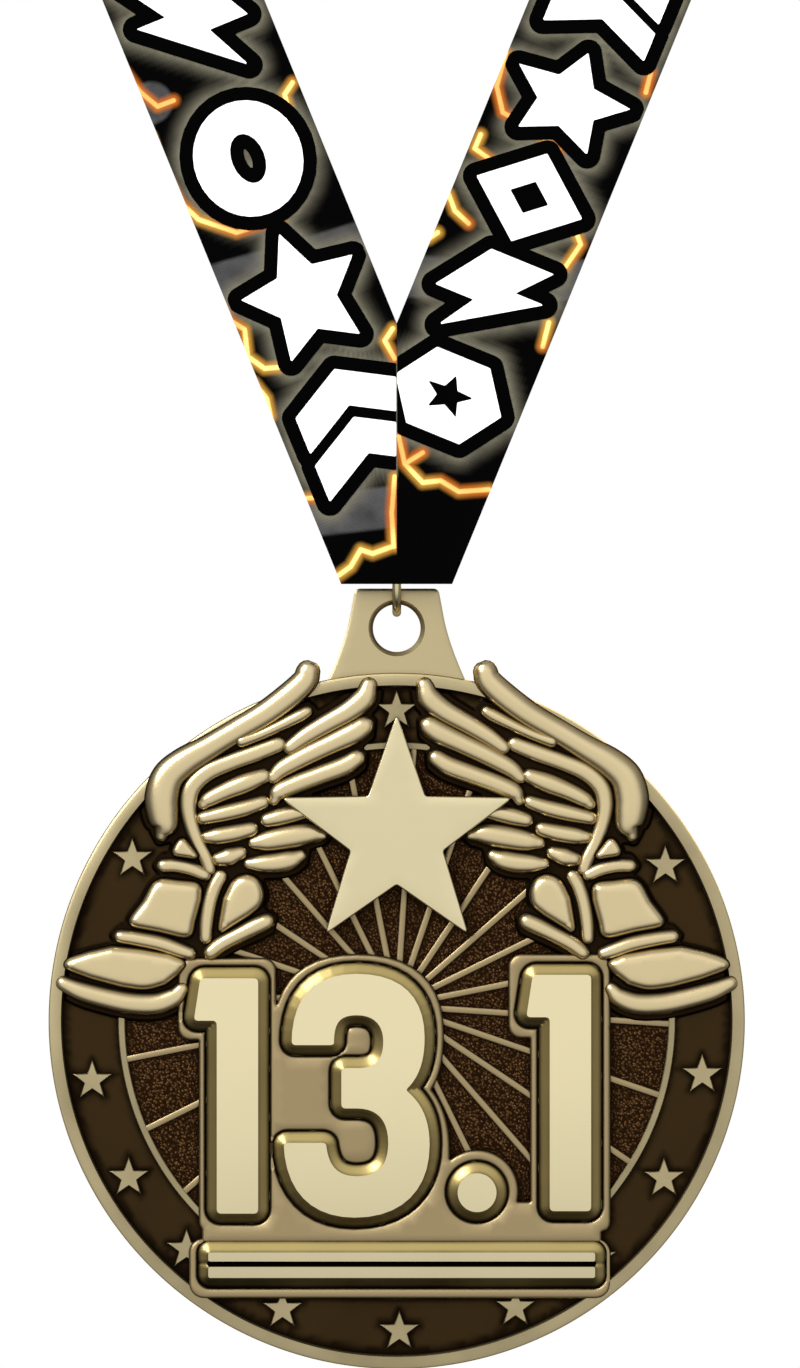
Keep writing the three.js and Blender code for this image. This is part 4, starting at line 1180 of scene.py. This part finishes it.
def ribbon_cloth(material):
    """The whole ribbon as one sheet with a thickness, its two halves mirrored and joined."""
    half = RIBBON_WIDTH / 2
    tip = (MITRE_Z - RIBBON_FOOT) / (math.sin(RIBBON_LEAN) + math.cos(RIBBON_LEAN) / math.tan(RIBBON_LEAN))
    columns = np.hstack([np.linspace(-half, tip, INNER_COLUMNS), np.linspace(tip, half, OUTER_COLUMNS)[1:]])
    steps = [("share", k / LEAD_ROWS) for k in range(LEAD_ROWS)]
    steps += [("run", s) for s in np.hstack([np.arange(LEAD, STRAIGHT, PRINT_ROW),
                                             np.linspace(STRAIGHT, HALF_LENGTH, LOOP_ROWS)])]
    starts = foot_of(columns)
    width = len(columns)
    points, faces, uvs, glow = [], [], [], []
    for hand in (1, -1):
        base = len(points)
        runs = []
        for kind, value in steps:
            s = starts + (LEAD - starts) * value if kind == "share" else np.full(width, value)
            lift = RIBBON_THICK / 2 - SELVEDGE * (1 - np.clip((np.abs(columns) - half + 0.9) / 0.3, 0, 1))
            points.extend([*on_ribbon(columns, s, lift, hand), *on_ribbon(columns, s, -lift, hand)])
            uvs.extend([(u, hand * (v - HALF_LENGTH)) for u, v in zip(columns, s)] * 2)
            runs.append(s)
        row, last = 2 * width, width - 1
        for i in range(len(steps) - 1):
            a, b = base + i * row, base + (i + 1) * row
            for k in range(width - 1):
                faces.append((a + k, a + k + 1, b + k + 1, b + k)[::hand])
                faces.append((a + width + k, b + width + k, b + width + k + 1, a + width + k + 1)[::hand])
            faces.append((a, b, b + width, a + width)[::hand])
            faces.append((a + last, a + width + last, b + width + last, b + last)[::hand])
        for k in range(INNER_COLUMNS - 1, width - 1):
            faces.append((base + k, base + width + k, base + width + k + 1, base + k + 1)[::hand])
        halo = halo_at(np.tile(columns, len(runs)), np.hstack(runs), hand).reshape(-1, width)
        glow.extend(np.hstack([halo, np.full_like(halo, -1)]).ravel())
    mesh = bpy.data.meshes.new("neck_ribbon_cloth")
    mesh.from_pydata([tuple(np.array(p) * MM + CENTRE) for p in points], [], faces)
    mesh.attributes.new("halo", "FLOAT", "POINT").data.foreach_set("value", glow)
    layer = mesh.uv_layers.new(name="UVMap")
    corner_vertices = np.empty(len(mesh.loops), dtype=int)
    mesh.loops.foreach_get("vertex_index", corner_vertices)
    layer.data.foreach_set("uv", (np.array(uvs)[corner_vertices] * 0.01).ravel())
    mesh.materials.append(material)
    mesh.polygons.foreach_set("use_smooth", [True] * len(mesh.polygons))
    thing = bpy.data.objects.new("neck_ribbon_cloth", mesh)
    bpy.context.scene.collection.objects.link(thing)
    weld(thing)
    mesh.set_sharp_from_angle(angle=math.radians(50))
    return thing


def weld(thing):
    """Joins the two halves where they meet at the mitre and at the nape."""
    mesh = bmesh.new()
    mesh.from_mesh(thing.data)
    bmesh.ops.remove_doubles(mesh, verts=mesh.verts, dist=0.002 * MM)
    mesh.to_mesh(thing.data)
    mesh.free()


NEIGHBOUR_STEP = 0.006   # keeps the outlines of neighbours off each other


def printed_marks():
    """White shapes with thick black outlines, printed in turn along each half of the ribbon."""
    white, black = Shape(), Shape()
    for k, (hand, middle, marks) in enumerate(PLAN):
        over = NEIGHBOUR_STEP * (k % 2)
        xs, zs = grid_over(marks, OUTLINE + 0.6, 0.15)
        values = grid_field(marks, xs, zs, OUTLINE + 0.5)
        u, s = xs[:, None], zs[None] + middle
        seam = -(u + s * math.tan(RIBBON_LEAN)) * math.cos(RIBBON_LEAN) + 0.05
        for shape, amount, low, high in ((black, OUTLINE, 0.0, 0.03), (white, 0.0, 0.02, 0.06)):
            loops = contours(np.maximum(np.maximum(values - amount, seam), np.abs(u) - PRINT_HALF_WIDTH),
                             xs, zs)
            if loops:
                printed(shape, loops, middle, hand, low, high + over)
    return white, black


def printed(shape, loops, middle, hand, low, high):
    """One thin layer of print, from just under the cloth's face to its own height."""
    flat, faces = triangulated(loops, hex_points(loops, 1.1, 0.35))
    half = RIBBON_THICK / 2
    top, base = (on_ribbon(flat[:, 0], flat[:, 1] + middle, np.full(len(flat), half + level), hand)
                 for level in (high, low - 0.04))
    shape.add(np.vstack([top, base]), [tuple(f)[::hand] for f in closed(faces, len(flat))], 1.0)


def ink(name, colour, rough):
    material = bpy.data.materials.new(name)
    tree, shader = nodes_of(material)
    grain = node(tree, "ShaderNodeGroup", ("Fineness", 2500.0), node_tree=INK_GRAIN).outputs[0]
    tree.links.new(mixed(tree, grain, tuple(c * 0.93 for c in colour), colour), shader.inputs["Base Color"])
    shader.inputs["Roughness"].default_value = rough
    shader.inputs["Specular IOR Level"].default_value = 0.01
    bumped(tree, shader, grain, 0.15, 0.03)
    return material


def segment_group():
    """The distance from a point to a straight run between two others, in the cloth's plane."""
    tree, given, out = node_group("run distance", "ShaderNodeTree",
                                  [(label, "Vector") for label in ("Point", "Start", "End")],
                                  [("Distance", "Float")])

    def vector(operation, *inputs):
        made = node(tree, "ShaderNodeVectorMath", *enumerate(inputs), operation=operation)
        return made.outputs["Value" if operation in ("DOT_PRODUCT", "LENGTH") else "Vector"]

    away = vector("SUBTRACT", given["Point"], given["Start"])
    span = vector("SUBTRACT", given["End"], given["Start"])
    share = math_node(tree, "DIVIDE", vector("DOT_PRODUCT", away, span), vector("DOT_PRODUCT", span, span))
    share = math_node(tree, "MAXIMUM", math_node(tree, "MINIMUM", share, 1.0), 0.0)
    along = node(tree, "ShaderNodeVectorMath", (0, span), ("Scale", share), operation="SCALE").outputs[0]
    tree.links.new(vector("LENGTH", vector("SUBTRACT", away, along)), out["Distance"])
    return tree


# Lightning as jagged runs of (x, z) on the straight sides, the left given with x below zero.
BOLTS = [
    [(-6.0, 44.6), (-4.6, 45.6), (-3.6, 47.3), (-2.4, 46.9), (-0.5, 47.6)],
    [(-0.3, 47.6), (-0.5, 51.0), (-0.2, 54.6)],
    [(-9.6, 52.4), (-7.6, 52.5), (-6.6, 54.0), (-6.7, 56.0)],
    [(-14.3, 64.0), (-13.0, 62.4), (-12.6, 60.6)],
    [(-17.6, 71.6), (-16.8, 70.3), (-15.2, 69.3), (-14.9, 66.6), (-13.2, 65.4), (-11.0, 65.6)],
    [(-24.6, 88.6), (-23.6, 85.6), (-21.6, 82.0), (-19.8, 80.3), (-16.0, 79.0), (-11.5, 80.4)],
    [(-27.8, 95.8), (-25.6, 93.0), (-23.9, 91.6), (-22.3, 92.2)],
    [(-10.4, 94.0), (-11.2, 92.8), (-10.6, 90.5), (-9.2, 88.0), (-9.4, 86.2)],
    [(0.2, 58.6), (0.8, 55.9), (2.6, 54.0), (4.4, 54.2), (6.2, 53.1), (9.2, 53.3)],
    [(2.6, 57.0), (1.0, 56.0)],
    [(4.1, 79.0), (3.2, 78.4)],
    [(5.2, 82.8), (5.8, 81.2), (7.2, 79.9)],
    [(8.4, 88.8), (7.8, 87.4), (9.2, 86.4)],
    [(10.9, 97.0), (10.0, 93.6), (10.6, 91.0), (13.6, 89.4), (16.2, 87.2)],
    [(16.9, 75.6), (18.4, 77.8), (17.8, 79.4)],
    [(14.6, 67.6), (15.2, 70.0)],
    [(24.9, 93.0), (25.4, 95.0)],
    [(-0.2, 66.4), (-1.2, 68.2), (-0.4, 69.4)],
]


# Smoky bands across the straight sides, in the same way.
SMOKE = [[(-18.6, 73.6), (-3.6, 78.0)], [(-9.2, 50.6), (-0.4, 51.6)], [(0.6, 74.6), (18.6, 74.2)],
         [(-27.5, 90.5), (-24.5, 92.0)]]


def cloth_place(x, z):
    """A point of the straight sides as it stands on the cloth's own map."""
    out, up = abs(x), z - MITRE_Z
    u = out * math.cos(RIBBON_LEAN) - up * math.sin(RIBBON_LEAN)
    s = out * math.sin(RIBBON_LEAN) + up * math.cos(RIBBON_LEAN)
    return (u, (1 if x > 0 else -1) * (s - HALF_LENGTH), 0)


def ribbon_satin():
    """Black satin with smoky bands, a warm glow round each mark and yellow lightning."""
    material = bpy.data.materials.new("ribbon_satin")
    tree, shader = nodes_of(material)
    uv = node(tree, "ShaderNodeUVMap", uv_map="UVMap").outputs[0]
    scaled = node(tree, "ShaderNodeVectorMath", (0, uv), (1, (100, 100, 0)), operation="MULTIPLY").outputs[0]
    split = node(tree, "ShaderNodeSeparateXYZ", (0, scaled))
    u, v = split.outputs[0], split.outputs[1]
    edge = math_node(tree, "ABSOLUTE", u)

    glow = node(tree, "ShaderNodeAttribute", attribute_name="halo").outputs["Fac"]
    straight = ranged(tree, math_node(tree, "ABSOLUTE", v), HALF_LENGTH - 62, HALF_LENGTH - 57)
    group = segment_group()

    def nearest_run(lines):
        nearest = None
        for line in lines:
            for a, b in zip(line, line[1:]):
                run = tree.nodes.new("ShaderNodeGroup")
                run.node_tree = group
                tree.links.new(scaled, run.inputs[0])
                run.inputs[1].default_value = cloth_place(*a)
                run.inputs[2].default_value = cloth_place(*b)
                far = run.outputs[0]
                nearest = far if nearest is None else math_node(tree, "MINIMUM", nearest, far)
        return nearest

    def noise(stretch, scale, detail, roughness=0.5):
        """A noise over the cloth, stretched across and along it."""
        place = node(tree, "ShaderNodeVectorMath", (0, scaled), (1, (*stretch, 0)), operation="MULTIPLY")
        return node(tree, "ShaderNodeTexNoise", ("Vector", place.outputs[0]), ("Scale", scale),
                    ("Detail", detail), ("Roughness", roughness)).outputs[0]

    smoke = noise((0.02, 0.13), 1.0, 1.0)
    wisps = noise((1, 1), 0.3, 3.0)
    loose = math_node(tree, "MULTIPLY", ranged(tree, smoke, 0.56, 0.7),
                      math_node(tree, "SUBTRACT", 1.0, straight))
    grey = math_node(tree, "MAXIMUM", loose, ranged(tree, nearest_run(SMOKE), 2.3, 1.8))
    grey = math_node(tree, "MULTIPLY", grey, ranged(tree, wisps, 0.25, 0.75, 0.45, 1.0))
    colour = mixed(tree, grey, (0.0005, 0.0005, 0.0005), (0.055, 0.055, 0.057))
    warmth = math_node(tree, "MULTIPLY", glow, ranged(tree, wisps, 0.25, 0.6, 0.6, 1.0))
    colour = mixed(tree, warmth, colour, (0.12, 0.112, 0.08))
    nearest = nearest_run(BOLTS)

    # Past the straight sides, the lightning wanders along both edges of the cloth.
    jag = noise((0, 0.22), 1.0, 3.0, 0.75)
    where = noise((0, 0.06), 1.0, 0.0)
    track = math_node(tree, "ADD", math_node(tree, "MULTIPLY", jag, 4.5), 4.2)
    wander = math_node(tree, "ABSOLUTE", math_node(tree, "SUBTRACT", edge, track))
    absent = ranged(tree, where, 0.56, 0.5, 0.0, 4.0)
    wander = math_node(tree, "ADD", math_node(tree, "ADD", wander, absent),
                       math_node(tree, "MULTIPLY", straight, 6.0))
    nearest = math_node(tree, "MINIMUM", nearest, wander)

    ember = ranged(tree, noise((1, 1), 0.12, 1.0), 0.42, 0.6)
    hot = mixed(tree, ember, (0.75, 0.33, 0.09), (0.90, 0.66, 0.20))
    haze = mixed(tree, ember, (0.34, 0.09, 0.012), (0.38, 0.19, 0.03))
    colour = mixed(tree, ranged(tree, nearest, 0.95, 0.15, 0.0, 0.95), colour, haze)
    colour = mixed(tree, ranged(tree, nearest, 0.32, 0.12), colour, hot)
    outer_face = ranged(tree, glow, -0.6, -0.4)
    colour = mixed(tree, outer_face, (0.003, 0.003, 0.003), colour)
    tree.links.new(colour, shader.inputs["Base Color"])
    threads = node(tree, "ShaderNodeTexWave", ("Vector", scaled), ("Scale", 1.1), ("Distortion", 0.4),
                   bands_direction="Y")
    ribs = node(tree, "ShaderNodeTexWave", ("Vector", scaled), ("Scale", 2.0), bands_direction="X")
    rib = math_node(tree, "MULTIPLY", ribs.outputs["Fac"], 0.5)
    cloth = math_node(tree, "ADD", threads.outputs["Fac"], rib)
    bumped(tree, shader, cloth, 0.25, 0.05)
    shader.inputs["Roughness"].default_value = 0.55
    shader.inputs["Specular IOR Level"].default_value = 0.01
    return material


# ---------------------------------------------------------------- ring, tape and tacks
def jump_ring():
    """Round wire bent to an open circle, split at the back."""
    shape = Shape()
    steps, round_steps = 96, 20
    radius = (RING_BORE + WIRE) / 2
    gap = RING_GAP / radius / 2
    turns = np.linspace(gap, TAU - gap, steps)
    points = []
    for turn in turns:
        for k in range(round_steps):
            a = TAU * k / round_steps
            out = radius + math.cos(a) * WIRE / 2
            points.append((math.sin(a) * WIRE / 2, out * math.cos(turn), RING_Z + out * math.sin(turn)))
    faces = [(i * round_steps + k, i * round_steps + (k + 1) % round_steps,
              (i + 1) * round_steps + (k + 1) % round_steps, (i + 1) * round_steps + k)
             for i in range(steps - 1) for k in range(round_steps)]
    faces += [tuple(range(round_steps))[::-1], tuple(range((steps - 1) * round_steps, steps * round_steps))]
    shape.add(points, [face[::-1] for face in faces], 0.9)
    return shape.piece("wire_ring", ring_gold)


def cloth_material(name, colour, scale, rough=0.85):
    material = bpy.data.materials.new(name)
    tree, shader = nodes_of(material)
    weave = node(tree, "ShaderNodeGroup", ("Scale", scale), node_tree=PLAIN_WEAVE).outputs[0]
    tree.links.new(mixed(tree, weave, tuple(c * 0.4 for c in colour), colour), shader.inputs["Base Color"])
    shader.inputs["Roughness"].default_value = rough
    shader.inputs["Sheen Weight"].default_value = 0.15
    bumped(tree, shader, weave, 0.5, 0.06)
    return material


def ring_tape(material):
    """The short tape: flat through the ring, then forward to lie behind the mitre."""
    bend = spline([(0, 49.5), (-0.5, 51), (-1.6, 53), (TAPE_Y + 0.5, 55), (TAPE_Y, 57)], 4)
    width, low, high = TAPE_HOLE
    levels = [TAPE_FOOT, *np.linspace(low, high, 5), *[z for _, z in bend], 60, 63, TAPE_TOP]
    path = [(np.interp(z, bend[:, 1], bend[:, 0]), z) for z in levels]
    columns = [-TAPE_WIDTH / 2, -2.1, -width / 2, -0.6, 0, 0.6, width / 2, 2.1, TAPE_WIDTH / 2]
    shape = Shape()
    points = []
    for i, (y, z) in enumerate(path):
        before, after = path[max(i - 1, 0)], path[min(i + 1, len(path) - 1)]
        away = np.array([after[1] - before[1], -(after[0] - before[0])])
        away *= TAPE_THICK / 2 / np.linalg.norm(away)
        for sign in (-1, 1):
            points += [(x, y + sign * away[0], z + sign * away[1]) for x in columns]
    row, width_count = 2 * len(columns), len(columns)
    faces = []
    open_cells = {(i, k) for i in range(1, 5) for k in range(2, 6)}
    cells = [(i, k) for i in range(len(path) - 1) for k in range(width_count - 1)
             if (i, k) not in open_cells]
    for i, k in cells:
        a, b = i * row + k, (i + 1) * row + k
        faces += [(a, a + 1, b + 1, b),
                  (a + width_count, b + width_count, b + width_count + 1, a + width_count + 1)]
        for (di, dk), (p, q) in {(-1, 0): (a + 1, a), (1, 0): (b, b + 1), (0, -1): (a, b),
                                 (0, 1): (b + 1, a + 1)}.items():
            if (i + di, k + dk) not in cells:
                faces.append((p, q, q + width_count, p + width_count))
    shape.add(points, faces, 1.0)
    return shape.piece("pierced_tape", material, crease=50)


# ---------------------------------------------------------------- build
CAMERA_REACH = 0.5742
camera_data = bpy.data.cameras.new("camera")
camera_data.lens = 150
camera_data.sensor_width = 36
camera = bpy.data.objects.new("camera", camera_data)
bpy.context.scene.collection.objects.link(camera)
aim = np.array([0.33, 0, 33.87]) * MM + CENTRE
camera.location = aim - (0, CAMERA_REACH, 0)
camera.rotation_euler = (math.pi / 2, 0, 0)
bpy.context.scene.camera = camera

satin = ribbon_satin()
cloth = ribbon_cloth(satin)
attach(cloth, "ribbon")
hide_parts("neck_ribbon")

white_shape, black_shape = printed_marks()
ink_black = ink("ink_black", (0.0004, 0.0004, 0.0004), 0.6)
ink_white = ink("ink_white", (0.9, 0.9, 0.9), 0.6)
for print_piece in (black_shape.piece("print_outlines", ink_black),
                    white_shape.piece("print_marks", ink_white)):
    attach(print_piece, "ribbon")

body = medal_body()
numerals, numeral_plate = digits()
casting = [body, field(), rays(), centre_star(), numerals, numeral_plate, small_stars(),
           *wing(-1), *wing(1)]
for part in casting:
    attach(part, "medal")
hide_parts("medal_casting")

ring = jump_ring()
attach(ring, "ring")
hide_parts("jump_ring")

tape_cloth = cloth_material("tape_weave", (0.03, 0.03, 0.032), 900.0)
tape_piece = ring_tape(tape_cloth)
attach(tape_piece, "ribbon")
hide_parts("ring_tape")

thread = cloth_material("sewing_thread", (0.08, 0.08, 0.085), 3000.0, 0.6)
back = TAPE_Y + TAPE_THICK / 2 + 0.08
for label, middle in TACK_PLACES:
    rows = [((-TACK_HALF_WIDTH, back, z), (TACK_HALF_WIDTH, back, z))
            for z in (middle - TACK_ROW_GAP, middle, middle + TACK_ROW_GAP)]
    tack = stitches(f"tack_stitches_{label}", rows, STITCH_LENGTH, STITCH_COUNT, thread)
    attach(tack, "ribbon")
    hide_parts(f"bartack_{label}")


# ---------------------------------------------------------------- floor and light
def light(name, place, aim_at, size, power, glossy=True):
    """A round soft light that the camera doesn't see."""
    data = bpy.data.lights.new(name, "AREA")
    data.shape = "DISK"
    data.size = size
    data.energy = power
    lamp = bpy.data.objects.new(name, data)
    lamp.location = place
    lamp.rotation_euler = (Vector(aim_at) - Vector(place)).to_track_quat("-Z", "Y").to_euler()
    lamp.visible_camera = False
    lamp.visible_glossy = glossy
    bpy.context.scene.collection.objects.link(lamp)


FLOOR_GAP, FLOOR_REACH = 0.12, 60.0


def floor():
    """A plain pale floor well under the medal."""
    mesh = bpy.data.meshes.new("floor")
    level = cad_box[0][2] - FLOOR_GAP
    mesh.from_pydata([(x * FLOOR_REACH, y * FLOOR_REACH, level)
                      for x, y in ((-1, -1), (1, -1), (1, 1), (-1, 1))], [], [(0, 1, 2, 3)])
    material = bpy.data.materials.new("pale_floor")
    tree, shader = nodes_of(material)
    shader.inputs["Base Color"].default_value = (0.9, 0.9, 0.9, 1)
    shader.inputs["Roughness"].default_value = 0.9
    seen = node(tree, "ShaderNodeLightPath").outputs["Is Camera Ray"]
    glow = node(tree, "ShaderNodeEmission", ("Strength", 1.0))
    dark = node(tree, "ShaderNodeBsdfDiffuse", ("Color", (0.12, 0.11, 0.1, 1)))
    mix = node(tree, "ShaderNodeMixShader", (0, seen), (1, dark.outputs[0]), (2, glow.outputs[0]))
    tree.links.new(mix.outputs[0], tree.nodes["Material Output"].inputs[0])
    mesh.materials.append(material)
    thing = bpy.data.objects.new("floor", mesh)
    thing.visible_glossy = False
    bpy.context.scene.collection.objects.link(thing)


def surroundings():
    """A bright front, fading to the sides and dark below, as a light tent round a metal piece."""
    world = bpy.data.worlds.new("studio")
    bpy.context.scene.world = world
    world.use_nodes = True
    tree = world.node_tree
    ground = tree.nodes["Background"]
    toward = node(tree, "ShaderNodeTexCoord").outputs["Generated"]
    split = node(tree, "ShaderNodeSeparateXYZ", (0, toward))
    x, y, z = split.outputs
    lobes = [(ranged(tree, math_node(tree, "MULTIPLY", y, -1.0), 0.35, 1.0), 0.88),
             (ranged(tree, y, 0.2, 0.95), 0.65), (math_node(tree, "MAXIMUM", z, 0.0), 0.55),
             (math_node(tree, "MAXIMUM", x, 0.0), 0.22),
             (math_node(tree, "MAXIMUM", math_node(tree, "MULTIPLY", x, -1.0), 0.0), 0.16)]
    level = 0.02
    for lobe, weight in lobes:
        level = math_node(tree, "ADD", math_node(tree, "MULTIPLY", lobe, weight), level)
    seen = node(tree, "ShaderNodeLightPath").outputs["Is Camera Ray"]
    strength = node(tree, "ShaderNodeMix", (0, seen), (2, level), (3, 1.0)).outputs[0]
    tree.links.new(strength, ground.inputs["Strength"])
    ground.inputs["Color"].default_value = (1, 1, 1, 1)


floor()
surroundings()
mid = Vector(CENTRE)
light("key", mid + Vector((-0.62, -0.7, 0.66)), mid, 0.65, 9.5)
light("cloth_fill", mid + Vector((0.1, -1.4, 0.5)), mid + Vector((0, 0, 0.06)), 1.0, 26.0, glossy=False)
light("back_fill", mid + Vector((0.5, 1.2, 0.6)), mid, 0.9, 12.0)

view = bpy.context.scene.view_settings
view.view_transform = "Standard"
view.look = "None"
